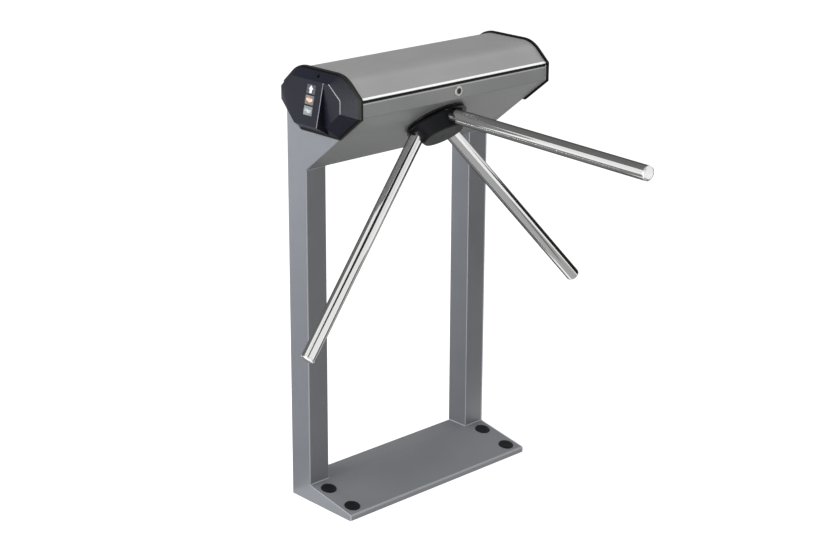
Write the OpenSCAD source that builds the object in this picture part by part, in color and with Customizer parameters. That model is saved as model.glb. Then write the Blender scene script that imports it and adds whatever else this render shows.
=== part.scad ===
// Waist-high tripod turnstile: two-post steel frame, octagonal head, three arms on an inclined rotor.
// X runs along the head, -Y is the side of the arms, Z is up.
// The origin is the middle of the four floor anchors, on the floor.

/* [Frame] */
// Width over the two side plates
frame_w = 548; // [500:1:640]
// Distance from the back of the frame to the front of the head
head_reach = 241; // [225:1:270]
// Width of a post, seen from the front
post_w = 57; // [50:1:70]
// Depth of a post, seen from the side
post_d = 58; // [50:1:66]
// Height of the top of the lid
head_h = 1000; // [900:5:1100]
// Height of the head, from its underside to the top of the lid
head_tall = 227; // [217:1:237]
// Thickness of a side plate
side_t = 3; // [2:0.5:5]
// Thickness of a post's folded channel
post_t = 2.5; // [2:0.5:3.5]
// Width of a post's lips, welded flat on the side plate
weld_lip = 12; // [8:1:16]

/* [Base] */
// Depth of the base, from the back of the frame
base_depth = 198; // [180:1:230]
// Height of the base's front lip
base_front_h = 13; // [11:1:18]
// Height of the base at the posts
base_rear_h = 38; // [30:1:50]
// Thickness of the floor plate
floor_t = 5; // [4:0.5:8]
// Distance from a side plate's outer face to the anchor holes
anchor_inset = 30; // [26:1:34]
// Distance from the back of the frame to the rear anchor holes
anchor_rear_in = 90; // [84:1:96]
// Distance between front and rear anchor holes
anchor_pitch = 80; // [70:1:86]
// Diameter of an anchor hole, for M12 anchors
anchor_hole_d = 14; // [12:0.5:16]
// Diameter of the plugs over the anchor holes
plug_d = 36; // [32:1:40]
// Diameter of the access hole under a plug
plug_hole_d = 32; // [28:1:36]
// Height of a plug's crown
plug_crown = 1.6; // [1:0.2:3]
// Depth of a plug's skirt
plug_skirt = 7; // [5:1:9]
// Diameter of the cable hole under the left post
cable_hole_d = 30; // [20:1:34]

/* [Head] */
// Thickness of the head's and lid's sheet
sheet_t = 2; // [1.5:0.5:2.5]
// Rise of the slanted face from the posts to the upper fold
slant_rise = 146; // [135:1:155]
// Height of the vertical band over the slanted face
band_h = 34.5; // [30:0.5:38]
// Gap between band and lid
lid_gap = 4; // [3:0.5:6]
// Width of the flange that the lid rests over
rest_flange = 12; // [10:1:14]
// Inner fold radius of the bent sheets
fold_r = 3; // [2.5:0.5:4]
// Horizontal run of the lid's slopes
lid_run = 47; // [40:1:55]
// Radius of the lid's two long bends
lid_bend_r = 70; // [40:5:80]
// Width of the lid's inward hem
lid_hem = 13; // [10:1:15]
// Play between the lid and its neighbours
lid_play = 0.6; // [0.4:0.1:1]

/* [End caps] */
// How far a cap's rim stands proud of the sheet
cap_lip = 4.5; // [3:0.5:6]
// Width of a cap's rim
cap_rim_t = 4; // [3:0.5:6]
// How far the cap's flat face stands out of the side plate
cap_out = 20; // [16:1:24]
// How far the indicator stands out at its foot
signal_out = 40; // [34:1:46]
// Wall of the cap
cap_wall = 2.5; // [2:0.5:3]
// How far a cap reaches below the head's lower fold
cap_foot_h = 52; // [46:1:56]
// Set-back of the cap's face at the front
cap_front_in = 45; // [38:1:48]
// Set-back of the cap's face at the rear
cap_rear_in = 6; // [5:1:12]
// Set-back of the cap's face at the top
cap_top_in = 19.5; // [16:0.5:24]
// Set-back of the cap's face at the bottom
cap_low_in = 21; // [16:1:26]
// Distance from the front of the head to the indicator's front edge
signal_in = 97; // [92:1:102]
// Width of the indicator at its foot
signal_w = 72; // [66:1:76]
// Distance from the indicator's front edge to the middle of its windows
tile_in = 35; // [30:1:40]
// Width of an indicator window
tile_w = 28; // [22:1:30]
// Height of an indicator window
tile_h = 20; // [16:1:20.5]
// Distance between indicator windows
tile_pitch = 22; // [21.5:0.5:24]

/* [Rotor] */
// Distance up the slanted face to the rotor's centre
hub_up = 144.5; // [138:0.5:146]
// How far behind the slanted face the arms' centre lines meet
apex_in = 24; // [22:0.5:24.5]
// Angle between an arm and the rotor's axis; a wider one would let the arms meet the posts
arm_angle = 49.8; // [48:0.1:50]
// Diameter of the hub's flange
hub_flange_d = 142; // [138:1:148]
// Thickness of the hub's flange
hub_flange_t = 3; // [3:0.5:5]
// Diameter of the hub's cone next to the flange
hub_cone_d = 130; // [126:1:134]
// Diameter of the hub's end face
hub_end_d = 94; // [92:1:98]
// How far the hub stands out of the slanted face
hub_out = 41; // [40:1:46]
// Diameter of the hub's neck inside the head
hub_neck_d = 108; // [106:1:109]
// How far the hub's neck reaches into the head
hub_neck_in = 20; // [18:1:21]
// Thickness of the fixed ring round the hub
trim_t = 5.5; // [5:0.5:7]
// Outer diameter of the fixed ring
trim_d = 138; // [132:1:144]
// Clear gap round the turning hub
hub_gap = 1.5; // [1:0.5:2.5]
// Thickness of the cover on the hub's end face
hub_cover_t = 2.5; // [2:0.5:4]

/* [Arms] */
// Length from the arms' meeting point to an arm's tip
arm_reach = 620; // [450:5:620]
// Diameter of an arm's tube
arm_d = 32; // [30:1:33]
// Wall of an arm's tube
arm_wall = 1.5; // [1:0.25:2.5]
// Distance from the meeting point to the bottom of an arm's socket
socket_from = 42; // [40:1:45]
// Radial play of a tube in its socket
socket_play = 0.05; // [0.02:0.01:0.1]
// Height of the domed plug at an arm's tip
tip_h = 6; // [4:0.5:10]
// Depth of that plug in the tube
tip_skirt = 18; // [10:1:25]
// Diameter of an arm's set screw
set_screw_d = 8; // [6:1:8]

/* [Spindle and bearings] */
// Diameter of the spindle in its bearings
spindle_d = 30; // [28:1:32]
// Diameter of the spindle's upper end
spindle_top_d = 24; // [20:1:26]
// Diameter of the spindle's flange
spindle_flange_d = 90; // [88:1:100]
// Thickness of the spindle's flange
spindle_flange_t = 8; // [6:1:9]
// Diameter of the spigot in the hub
spigot_d = 20; // [16:1:22]
// Length of that spigot
spigot_h = 8; // [5:1:10]
// Outer diameter of a ball bearing
bearing_od = 62; // [60:1:64]
// Width of a ball bearing
bearing_w = 16; // [14:1:18]
// Ball diameter
ball_d = 9.5; // [8:0.5:10]
// Balls in one bearing
ball_count = 9; // [7:1:9]
// Outer diameter of the bearing housing
housing_d = 76; // [74:1:80]
// Diameter of the housing's flange
housing_flange_d = 106; // [102:1:108]
// Radial play of a running fit
run_play = 0.05; // [0.02:0.01:0.1]

/* [Mechanism plate] */
// Distance from the slanted face to the top of the mechanism plate
plate_in = 89; // [87:1:92]
// Thickness of the mechanism plate
plate_t = 5; // [4:0.5:6]
// Width of the mechanism plate
plate_w = 300; // [290:1:330]
// Reach of the plate towards the front of the head
plate_front = 70; // [66:1:74]
// Reach of the plate towards the rear of the head
plate_rear = 88; // [84:1:92]
// Diameter of a pillar
pillar_d = 18; // [14:1:22]
// Distance from the plate's edges to the pillars
pillar_inset = 14; // [12:1:18]

/* [Drive] */
// Gear module
gear_module = 2; // [2:0.5:2]
// Teeth of the driven gear
gear_teeth = 72; // [72:1:72]
// Teeth of the pinion
pinion_teeth = 18; // [18:1:18]
// Face width of the gears
gear_t = 10; // [8:1:11]
// Thinning of each tooth flank, for backlash
backlash = 0.15; // [0.1:0.05:0.25]
// Diameter of the gearbox
gearbox_d = 52; // [46:1:54]
// Length of the gearbox
gearbox_h = 38; // [32:1:40]
// Diameter of the motor
motor_d = 42; // [36:1:44]

/* [Lock and sensor] */
// Radius of the lock disc between its lugs
lock_disc_r = 46; // [42:1:48]
// Radius of the lock disc at its lugs
lug_r = 58; // [56:1:60]
// Angle that a lug spans
lug_angle = 16; // [12:1:20]
// Thickness of the lock disc
lock_disc_t = 6; // [5:1:7]
// Thickness of a pawl
pawl_t = 5; // [4:0.5:5]
// Width of a pawl
pawl_w = 13; // [11:1:14]
// Distance from a pawl's pivot to its nose
pawl_reach = 68; // [66:1:70]
// Diameter of a pawl's pivot pin
pawl_pin_d = 8; // [6:1:10]
// Distance from a pawl's pivot to the solenoid's pin
pawl_tail = 20; // [18:1:22]
// Angle that a pawl swings from free to locked
pawl_swing = 12; // [11:0.5:13]
// Side of a solenoid's square frame
solenoid_w = 26; // [22:1:28]
// Length of a solenoid
solenoid_h = 40; // [34:1:42]
// Diameter of a solenoid's plunger
plunger_d = 10; // [8:1:11]
// Radius of the position disc
position_r = 36; // [32:1:40]
// Slots in the position disc
position_slots = 24; // [12:1:30]

/* [Lid hardware] */
// Length of a hinge
hinge_w = 60; // [48:1:90]
// Distance from the middle of the head to a hinge's middle
hinge_x = 170; // [120:1:200]
// Outer diameter of a hinge's knuckle
knuckle_d = 8; // [7:0.5:10]
// Diameter of a hinge pin
hinge_pin_d = 4; // [3:0.5:5]
// Height of a hinge leaf
leaf_h = 26; // [20:1:32]
// Thickness of a hinge leaf
leaf_t = 1.5; // [1:0.25:2]
// Diameter of the lock's bezel
lock_bezel_d = 23; // [21:1:26]
// Diameter of the lock's barrel
lock_barrel_d = 18; // [16:1:19]
// Diameter of the lock's turning plug
lock_plug_d = 13; // [12:0.5:14]
// Length of the lock's cam from its centre
cam_reach = 34; // [30:1:38]
// Width of the lock's cam
cam_w = 14; // [12:1:16]

/* [Control board] */
// Length of the board along the head
board_w = 88; // [70:1:92]
// Length of the board across the head
board_l = 120; // [90:1:125]
// Thickness of the board
board_t = 1.6; // [1.2:0.2:2.4]
// Height of the board's standoffs
board_stand = 12; // [8:1:20]
// Distance from the side plate to the board
board_gap = 16; // [12:1:24]

/* [Hidden] */
$fn = 48;
over = 1;
touch = 0.3;
bend_steps = 4;
long_bend_steps = 12;

// Places along the depth and height of the frame
back_y = anchor_pitch / 2 + anchor_rear_in;
front_y = back_y - head_reach;
mid_y = (back_y + front_y) / 2;
post_y = back_y - post_d;
head_low = head_h - head_tall;
base_y = back_y - base_depth;
fold_z = head_low + slant_rise;
band_z = fold_z + band_h;
lid_low = band_z + lid_gap;
side_x = frame_w / 2;
plate_x = side_x - side_t;
post_x = side_x - post_w;
slant = atan2(slant_rise, post_y - front_y);
hub_y = post_y - hub_up * cos(slant);
hub_z = head_low + hub_up * sin(slant);
base_slope = atan2(base_rear_h - base_front_h, post_y - base_y);
anchor_x = side_x - anchor_inset;

// Folded sheets: a path of corners becomes a path with bends, and that becomes a sheet
function unit(v) = v / norm(v);
function left(v) = [-v[1], v[0]];
function turned(v, a) = [v[0] * cos(a) - v[1] * sin(a), v[0] * sin(a) + v[1] * cos(a)];
function corner_arc(a, p, b, r, steps) =
    let (u = unit(p - a), w = unit(b - p), angle = acos(u * w), side = sign(cross(u, w)),
         cut = r * tan(angle / 2), centre = p - cut * u + side * r * left(u))
    [for (k = [0:steps]) centre - side * r * left(turned(u, side * angle * k / steps))];
function bent(p, radii, steps = bend_steps) =
    [for (i = [0:len(p) - 1]) each
        (i == 0 || i == len(p) - 1 || radii[i] == 0) ? [p[i]]
        : corner_arc(p[i - 1], p[i], p[i + 1], radii[i], steps)];
function bent_ring(p, radii, steps = bend_steps) =
    let (n = len(p))
    [for (i = [0:n - 1]) each
        radii[i] == 0 ? [p[i]] : corner_arc(p[(i + n - 1) % n], p[i], p[(i + 1) % n], radii[i], steps)];
function mitre(a, p, b, t) =
    let (u = left(unit(p - a)), w = left(unit(b - p))) p + t * (u + w) / (1 + u * w);
function shifted(p, t) =
    let (n = len(p) - 1)
    [for (i = [0:n])
        i == 0 ? p[0] + t * left(unit(p[1] - p[0]))
        : i == n ? p[n] + t * left(unit(p[n] - p[n - 1]))
        : mitre(p[i - 1], p[i], p[i + 1], t)];
function shifted_ring(p, t) =
    let (n = len(p)) [for (i = [0:n - 1]) mitre(p[(i + n - 1) % n], p[i], p[(i + 1) % n], t)];
function reversed(p) = [for (i = [len(p) - 1:-1:0]) p[i]];
function sheet(p, t) = concat(p, reversed(shifted(p, t)));

// An outline in depth and height, drawn along the head from x0 to x1
module between(x0, x1) {
    translate([x0, 0, 0]) rotate([90, 0, 90]) linear_extrude(x1 - x0) children();
}
module across(w) {
    between(-w / 2, w / 2) children();
}
module both_sides() {
    children();
    mirror([1, 0, 0]) children();
}
// The rotor's own frame: Z runs into the head, square to the slanted face
module at_rotor() {
    translate([0, hub_y, hub_z]) rotate([-slant, 0, 0]) children();
}
module ring(d_out, d_in, h) {
    difference() {
        cylinder(d = d_out, h = h);
        translate([0, 0, -over]) cylinder(d = d_in, h = h + 2 * over);
    }
}
module slab(x0, x1, y0, y1, z0, z1) {
    translate([x0, y0, z0]) cube([x1 - x0, y1 - y0, z1 - z0]);
}

// Base
cover_path = [
    [base_y, 0], [base_y, base_front_h], [post_y, base_rear_h], [back_y, base_rear_h], [back_y, floor_t]
];
cover_radii = [0, fold_r, fold_r, fold_r, 0];
cable_x = -side_x + post_w / 2;
cable_y = back_y - post_d / 2;

module floor_plate() {
    color("slategray") difference() {
        slab(-plate_x, plate_x, base_y + sheet_t, back_y, 0, floor_t);
        for (x = [-anchor_x, anchor_x], y = [-anchor_pitch / 2, anchor_pitch / 2])
            translate([x, y, -over]) cylinder(d = anchor_hole_d, h = floor_t + 2 * over);
        translate([cable_x, cable_y, -over]) cylinder(d = cable_hole_d, h = floor_t + 2 * over);
    }
}

// A frame square to the base's slope at one anchor
module at_plug(x, y) {
    translate([x, y, base_rear_h - (post_y - y) * tan(base_slope)]) rotate([base_slope, 0, 0]) children();
}
module each_plug() {
    for (x = [-anchor_x, anchor_x], y = [-anchor_pitch / 2, anchor_pitch / 2]) at_plug(x, y) children();
}

module base_cover() {
    color("slategray") difference() {
        across(2 * plate_x) polygon(sheet(bent(cover_path, cover_radii), -sheet_t));
        both_sides() slab(post_x, plate_x + over, post_y, back_y + over, -over, base_rear_h + over);
        each_plug() translate([0, 0, -sheet_t - over]) cylinder(d = plug_hole_d, h = sheet_t + 2 * over);
    }
}

plug_play = 0.3;
plug_wall = 1.8;

module base_plugs() {
    color("#1c1d20") each_plug() {
        difference() {
            union() {
                rotate_extrude() polygon([
                    [0, 0], [plug_d / 2, 0], [plug_d / 2 - plug_crown / 2, plug_crown],
                    [0, plug_crown + plug_play]
                ]);
                translate([0, 0, -plug_skirt])
                    cylinder(d = plug_hole_d - 2 * plug_play, h = plug_skirt + plug_crown / 2);
            }
            translate([0, 0, -plug_skirt - over])
                cylinder(d = plug_hole_d - 2 * plug_play - 2 * plug_wall, h = plug_skirt + over);
        }
    }
}

// Side plates: base cheek, post wall and head cheek in one cut sheet
lid_path = [
    [front_y, lid_low], [front_y + lid_run, head_h], [back_y - lid_run, head_h], [back_y, lid_low]
];
lid_radii = [0, lid_bend_r, lid_bend_r, 0];
lid_skin = bent(lid_path, lid_radii, long_bend_steps);
side_top = [for (p = shifted(lid_skin, -sheet_t - lid_play)) if (p[1] > lid_low + touch) p];
side_low = [
    [back_y, 0], [base_y, 0], [base_y, base_front_h], [post_y, base_rear_h], [post_y, head_low],
    [front_y, fold_z], [front_y, band_z], [side_top[0][0], band_z]
];
side_outline = concat(
    bent(side_low, [0, 0, fold_r, 0, 0, fold_r, 0, 0]), side_top,
    [[side_top[len(side_top) - 1][0], band_z], [back_y, band_z]]
);

module side_plate_left() {
    color("#8f939c") difference() {
        between(-side_x, -plate_x) polygon(side_outline);
        for (p = cap_places) at_cap(p) translate([0, 0, -side_t - over])
            cylinder(d = cap_screw_d + 2 * bolt_play, h = side_t + 2 * over);
    }
}
module side_plate_right() {
    mirror([1, 0, 0]) side_plate_left();
}

// Posts: a channel, open towards the side plate, from the floor plate to the head
module post_right() {
    color("slategray") difference() {
        slab(post_x, plate_x, post_y, back_y, floor_t, head_low);
        slab(post_x + post_t, plate_x - post_t, post_y + post_t, back_y - post_t,
            floor_t - over, head_low + over);
        slab(plate_x - post_t - over, plate_x + over, post_y + weld_lip, back_y - weld_lip,
            floor_t - over, head_low + over);
    }
}
module post_left() {
    mirror([1, 0, 0]) post_right();
}

// Head shell: front flange, band, slanted face, underside, back and rear flange
head_path = [
    [front_y + rest_flange, band_z], [front_y, band_z], [front_y, fold_z], [post_y, head_low],
    [back_y, head_low], [back_y, band_z], [back_y - rest_flange, band_z]
];
head_radii = [0, fold_r, fold_r, fold_r, fold_r, fold_r, 0];
lock_z = (fold_z + band_z) / 2;
lock_play = 0.2;
hub_hole_d = hub_neck_d + 4 * hub_gap;
cable_well_d = cable_hole_d;

module head_shell() {
    color("gray") difference() {
        across(2 * plate_x) polygon(sheet(bent(head_path, head_radii), sheet_t));
        at_rotor() translate([0, 0, -over]) cylinder(d = hub_hole_d, h = sheet_t + 2 * over);
        translate([0, front_y - over, lock_z]) rotate([-90, 0, 0])
            cylinder(d = lock_barrel_d + 2 * lock_play, h = sheet_t + 2 * over);
        translate([cable_x, cable_y, head_low - over]) cylinder(d = cable_well_d, h = sheet_t + 2 * over);
    }
}

// Rubber grommets in the two cable holes: a neck through the plate between two rims
grommet_rim = 4;
grommet_wall = 2.5;
grommet_play = 0.2;
grommet_lip_t = 2;

module grommet(t) {
    rotate_extrude() polygon([
        [cable_hole_d / 2 - grommet_wall, 0], [cable_hole_d / 2 - grommet_play, 0],
        [cable_hole_d / 2 - grommet_play, t], [cable_hole_d / 2 + grommet_rim, t],
        [cable_hole_d / 2 + grommet_rim / 2, t + grommet_lip_t],
        [cable_hole_d / 2 - grommet_wall, t + grommet_lip_t]
    ]);
}
module cable_grommets() {
    color("#202020") {
        translate([cable_x, cable_y, 0]) grommet(floor_t);
        translate([cable_x, cable_y, head_low]) grommet(sheet_t);
    }
}

// Fixed ring round the hub, on the slanted face; its bore widens to clear the turning arms
trim_edge = 2;
function arm_sweep_r(z) = (apex_in - z) * tan(arm_angle) + arm_d / 2 / cos(arm_angle);
module trim_ring() {
    color("#17181b") at_rotor() rotate_extrude() polygon([
        [hub_neck_d / 2 + hub_gap, 0], [trim_d / 2, 0], [trim_d / 2, trim_edge - trim_t],
        [trim_d / 2 - trim_edge, -trim_t], [arm_sweep_r(-trim_t) + hub_gap, -trim_t]
    ]);
}

// Mechanism plate on four pillars, parallel to the slanted face
plate_low = plate_in - plate_t;
pillar_places = [
    for (x = [-1, 1], y = [-plate_front + pillar_inset, plate_rear - pillar_inset])
        [x * (plate_w / 2 - pillar_inset), y]
];
mech_bolt_d = 8;
housing_bolt_d = 6;
bolt_play = 0.25;
bearing_retain = 5;
pinion_x = gear_module * (gear_teeth + pinion_teeth) / 2;
pinion_shaft_d = 12;
shaft_gap = 2;
plate_corner = 10;
module each_housing_bolt() {
    for (a = [30:60:330]) rotate([0, 0, a]) translate([(housing_d + housing_flange_d) / 4, 0, 0]) children();
}

module mech_plate() {
    color("#a9adb3") at_rotor() translate([0, 0, plate_low]) difference() {
        slab(-plate_w / 2, plate_w / 2, -plate_front, plate_rear, 0, plate_t);
        for (x = [-1, 1], y = [-plate_front, plate_rear]) translate([x * plate_w / 2, y, -over])
            rotate([0, 0, 45]) translate([-plate_corner / 2, -plate_corner / 2, 0])
                cube([plate_corner, plate_corner, plate_t + 2 * over]);
        translate([0, 0, -over]) cylinder(d = bearing_od - 2 * bearing_retain, h = plate_t + 2 * over);
        translate([pinion_x, 0, -over]) cylinder(d = pinion_shaft_d + 2 * shaft_gap, h = plate_t + 2 * over);
        for (p = pillar_places) translate([p[0], p[1], -over])
            cylinder(d = mech_bolt_d + 2 * bolt_play, h = plate_t + 2 * over);
        each_housing_bolt() translate([0, 0, -over])
            cylinder(d = housing_bolt_d + 2 * bolt_play, h = plate_t + 2 * over);
        both_sides() translate([pawl_pivot[0], pawl_pivot[1], -over])
            cylinder(d = pawl_pin_d, h = plate_t + 2 * over);
    }
}

module mech_pillars() {
    color("#b9bcc2") at_rotor() for (p = pillar_places) translate([p[0], p[1], sheet_t]) difference() {
        cylinder(d = pillar_d, h = plate_low - sheet_t);
        translate([0, 0, plate_low - sheet_t - 3 * mech_bolt_d])
            cylinder(d = mech_bolt_d + 2 * bolt_play, h = 3 * mech_bolt_d + over);
    }
}

// A cap screw: shank down from zero, head up from zero, with a socket
head_share = 1.6;
socket_share = 0.9;
low_head_share = 1.8;
low_head_h_share = 0.6;
module cap_screw(d, shank) {
    difference() {
        union() {
            translate([0, 0, -shank]) cylinder(d = d, h = shank);
            cylinder(d = head_share * d, h = d);
        }
        translate([0, 0, d / 2]) cylinder(d = socket_share * d, h = d, $fn = 6);
    }
}
// The same with a low head
module cap_screw_low(d, shank) {
    difference() {
        union() {
            translate([0, 0, -shank]) cylinder(d = d, h = shank);
            cylinder(d = low_head_share * d, h = low_head_h_share * d);
        }
        translate([0, 0, low_head_h_share * d / 2]) cylinder(d = low_head_h_share * d, h = d, $fn = 6);
    }
}

module mech_screws() {
    color("#d6d8db") at_rotor() {
        for (p = pillar_places) translate([p[0], p[1], plate_in])
            cap_screw(mech_bolt_d, plate_t + 2 * mech_bolt_d);
        each_housing_bolt() translate([0, 0, housing_low_flange]) rotate([180, 0, 0])
            cap_screw(housing_bolt_d, housing_flange_t + plate_t);
    }
}

// Bearing housing under the plate, with two ball bearings on the spindle
housing_flange_t = 8;
housing_low_flange = plate_low - housing_flange_t;
spindle_flange_in = hub_neck_in + spindle_flange_t;
spindle_bolt_d = 8;
housing_gap = 2;
housing_low = spindle_flange_in + spindle_bolt_d + housing_gap;
housing_lip_t = 2;
bearing_low = housing_low + housing_lip_t;
bearing_high = plate_low - bearing_w;
ball_path_d = (bearing_od + spindle_d) / 2;
race_share = 0.3;
race_wall = (bearing_od - spindle_d) / 2 * race_share;

module bearing_housing() {
    color("#8b8f96") at_rotor() difference() {
        union() {
            translate([0, 0, housing_low]) cylinder(d = housing_d, h = plate_low - housing_low);
            translate([0, 0, housing_low_flange]) cylinder(d = housing_flange_d, h = housing_flange_t);
        }
        translate([0, 0, bearing_low]) cylinder(d = bearing_od + 2 * run_play, h = plate_low);
        translate([0, 0, housing_low - over]) cylinder(d = bearing_od - 2 * bearing_retain, h = plate_low);
        each_housing_bolt() translate([0, 0, housing_low_flange - over])
            cylinder(d = housing_bolt_d + 2 * bolt_play, h = housing_flange_t + 2 * over);
    }
}

module race(r_in, r_out) {
    rotate_extrude() difference() {
        translate([r_in, 0]) square([r_out - r_in, bearing_w]);
        translate([ball_path_d / 2, bearing_w / 2]) circle(d = ball_d + 2 * run_play);
    }
}
module bearing_outer_rings() {
    color("#c9ccd1") at_rotor() for (z = [bearing_low, bearing_high]) translate([0, 0, z])
        race(bearing_od / 2 - race_wall, bearing_od / 2);
}
module bearing_inner_rings() {
    color("#c9ccd1") at_rotor() for (z = [bearing_low, bearing_high]) translate([0, 0, z])
        race(spindle_d / 2 + run_play, spindle_d / 2 + race_wall);
}

// Each set has its balls and the pressed cage that spaces them
cage_t = 1.2;
cage_h = 12;
module ball_sets() {
    color("#dfe1e4") at_rotor() for (z = [bearing_low, bearing_high]) translate([0, 0, z + bearing_w / 2]) {
        for (k = [0:ball_count - 1]) rotate([0, 0, 360 / ball_count * k])
            translate([ball_path_d / 2, 0, 0]) sphere(d = ball_d);
        difference() {
            translate([0, 0, -cage_h / 2]) ring(ball_path_d + cage_t, ball_path_d - cage_t, cage_h);
            for (k = [0:ball_count - 1]) rotate([0, 0, 360 / ball_count * k])
                translate([ball_path_d / 2 - ball_d, 0, 0]) rotate([0, 90, 0])
                    cylinder(d = ball_d + 4 * run_play, h = 2 * ball_d);
        }
    }
}

// Gearmotor under the plate, its pinion above it
motor_gap = 4;
motor_base = sheet_t + motor_gap;
gearbox_low = plate_low - gearbox_h;

module gearbox() {
    color("#70747a") at_rotor() translate([pinion_x, 0, gearbox_low]) difference() {
        union() {
            cylinder(d = gearbox_d, h = gearbox_h);
            cylinder(d = gearbox_d + gearbox_h / 10, h = gearbox_h / 5);
        }
        translate([0, 0, gearbox_h - 2 * pinion_shaft_d])
            cylinder(d = pinion_shaft_d + 2 * run_play, h = 2 * pinion_shaft_d + over);
    }
}
module motor() {
    color("#2a2c30") at_rotor() translate([pinion_x, 0, motor_base])
        cylinder(d = motor_d, h = gearbox_low - motor_base);
}

// The stack on the spindle's upper end: driven gear, lock disc and position disc, with spacers between
gear_low = plate_in + shaft_gap;
gear_high = gear_low + gear_t;
stack_gap = 3;
disc_low = gear_high + stack_gap;
disc_high = disc_low + lock_disc_t;
position_gap = 5;
position_low = disc_high + position_gap;
position_t = 1.2;
position_high = position_low + position_t;
nut_h = 10;
nut_af = 36;
seat_d = spindle_top_d + 2 * run_play;
spacer_d = 38;

// Involute teeth, a little thinner than the gap
pressure_angle = 20;
dedendum_share = 1.25;
function polar(r, a) = [r * cos(a), r * sin(a)];
function involute(a) = tan(a) * 180 / PI - a;
function half_tooth(teeth, r) =
    let (pitch_r = gear_module * teeth / 2, base_r = pitch_r * cos(pressure_angle))
    90 / teeth - backlash / pitch_r * 180 / PI + involute(pressure_angle)
        - involute(acos(min(1, base_r / r)));
function tooth_radii(teeth) =
    let (pitch_r = gear_module * teeth / 2, base_r = pitch_r * cos(pressure_angle),
         root_r = pitch_r - dedendum_share * gear_module, tip_r = pitch_r + gear_module)
    root_r < base_r ? [root_r, base_r, pitch_r, (pitch_r + tip_r) / 2, tip_r] : [root_r, pitch_r, tip_r];
function gear_outline(teeth, turn) = [
    for (k = [0:teeth - 1]) let (a = turn + k * 360 / teeth)
        each concat(
            [for (r = tooth_radii(teeth)) polar(r, a - half_tooth(teeth, r))],
            [for (r = reversed(tooth_radii(teeth))) polar(r, a + half_tooth(teeth, r))]
        )
];

gear_window_d = 24;
gear_window_r = 48;
gear_boss_d = 52;
gear_recess = 1.5;
rim_teeth = 8;
module drive_gear() {
    color("#b7a36a") at_rotor() translate([0, 0, gear_low]) difference() {
        linear_extrude(gear_t) polygon(gear_outline(gear_teeth, 0));
        translate([0, 0, -over]) cylinder(d = seat_d, h = gear_t + 2 * over);
        for (a = [0:60:300]) rotate([0, 0, a]) translate([gear_window_r, 0, -over])
            cylinder(d = gear_window_d, h = gear_t + 2 * over);
        translate([0, 0, gear_t - gear_recess])
            ring(gear_module * (gear_teeth - rim_teeth), gear_boss_d, gear_t);
    }
}
pinion_boss_h = 1.5;
shaft_end_gap = 1;
shaft_low = plate_low - 2 * pinion_shaft_d + shaft_end_gap;
module drive_pinion() {
    color("#9aa0a6") at_rotor() translate([pinion_x, 0, 0]) {
        translate([0, 0, gear_low]) linear_extrude(gear_t)
            polygon(gear_outline(pinion_teeth, 180 + 180 / pinion_teeth));
        translate([0, 0, shaft_low]) cylinder(d = pinion_shaft_d, h = gear_high + pinion_boss_h - shaft_low);
    }
}

// Three lugs stand over the arms' gaps, and a pawl's end meets a lug's flank
disc_hole_d = 12;
module lock_disc() {
    color("#c2c5ca") at_rotor() translate([0, 0, disc_low]) difference() {
        linear_extrude(lock_disc_t) union() {
            circle(r = lock_disc_r);
            for (a = [90:120:330]) intersection() {
                circle(r = lug_r);
                polygon([[0, 0], polar(2 * lug_r, a - lug_angle / 2), polar(2 * lug_r, a + lug_angle / 2)]);
            }
        }
        translate([0, 0, -over]) cylinder(d = seat_d, h = lock_disc_t + 2 * over);
        for (a = [30:60:330]) rotate([0, 0, a]) translate([(spacer_d / 2 + lock_disc_r) / 2, 0, -over])
            cylinder(d = disc_hole_d, h = lock_disc_t + 2 * over);
    }
}
slot_l = 5;
slot_w = 2.4;
slot_edge = 3;
module position_disc() {
    color("#3b3e44") at_rotor() translate([0, 0, position_low]) difference() {
        cylinder(r = position_r, h = position_t);
        translate([0, 0, -over]) cylinder(d = seat_d, h = position_t + 2 * over);
        for (k = [0:position_slots - 1]) rotate([0, 0, 360 / position_slots * (k + 1 / 2)])
            slab(position_r - slot_l - slot_edge, position_r - slot_edge, -slot_w / 2, slot_w / 2,
                -over, position_t + over);
    }
}
module spindle_nut() {
    color("#d6d8db") at_rotor() translate([0, 0, position_high]) difference() {
        cylinder(d = nut_af / cos(30), h = nut_h, $fn = 6);
        translate([0, 0, -over]) cylinder(d = seat_d, h = nut_h + 2 * over);
    }
}
module spindle_spacers() {
    color("#c2c5ca") at_rotor() {
        translate([0, 0, gear_high]) ring(spacer_d, seat_d, stack_gap);
        translate([0, 0, disc_high]) ring(spacer_d, seat_d, position_gap);
        for (z = [[bearing_low + bearing_w, bearing_high], [plate_low, gear_low]])
            translate([0, 0, z[0]]) ring(spacer_d + 2 * stack_gap, spindle_d + 2 * run_play, z[1] - z[0]);
    }
}

// Pawls: a bar from the pivot to its end face at the lug, and a slotted tail for the solenoid
lug_gap_angle = 3.5;
nose_angle = 210 - lug_angle / 2 - lug_gap_angle;
nose_r = lock_disc_r + touch + pawl_w / 2;
nose_left = polar(nose_r, nose_angle);
pawl_pivot = nose_left + polar(pawl_reach, nose_angle - 90);
tail_angle = 90 + pawl_swing / 2;
tail_pin_d = 4;
tail_play = 0.4;
pawl_low = disc_low + (lock_disc_t - pawl_t) / 2;
pawl_high = pawl_low + pawl_t;
pawl_hub_wall = 4.85;
pawl_hub_d = pawl_pin_d + 2 * pawl_hub_wall;
tail_wall = 2.4;
tail_w = tail_pin_d + 2 * (tail_play + tail_wall);
pin_at_rest = pawl_pivot + polar(pawl_tail, tail_angle - pawl_swing);

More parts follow.
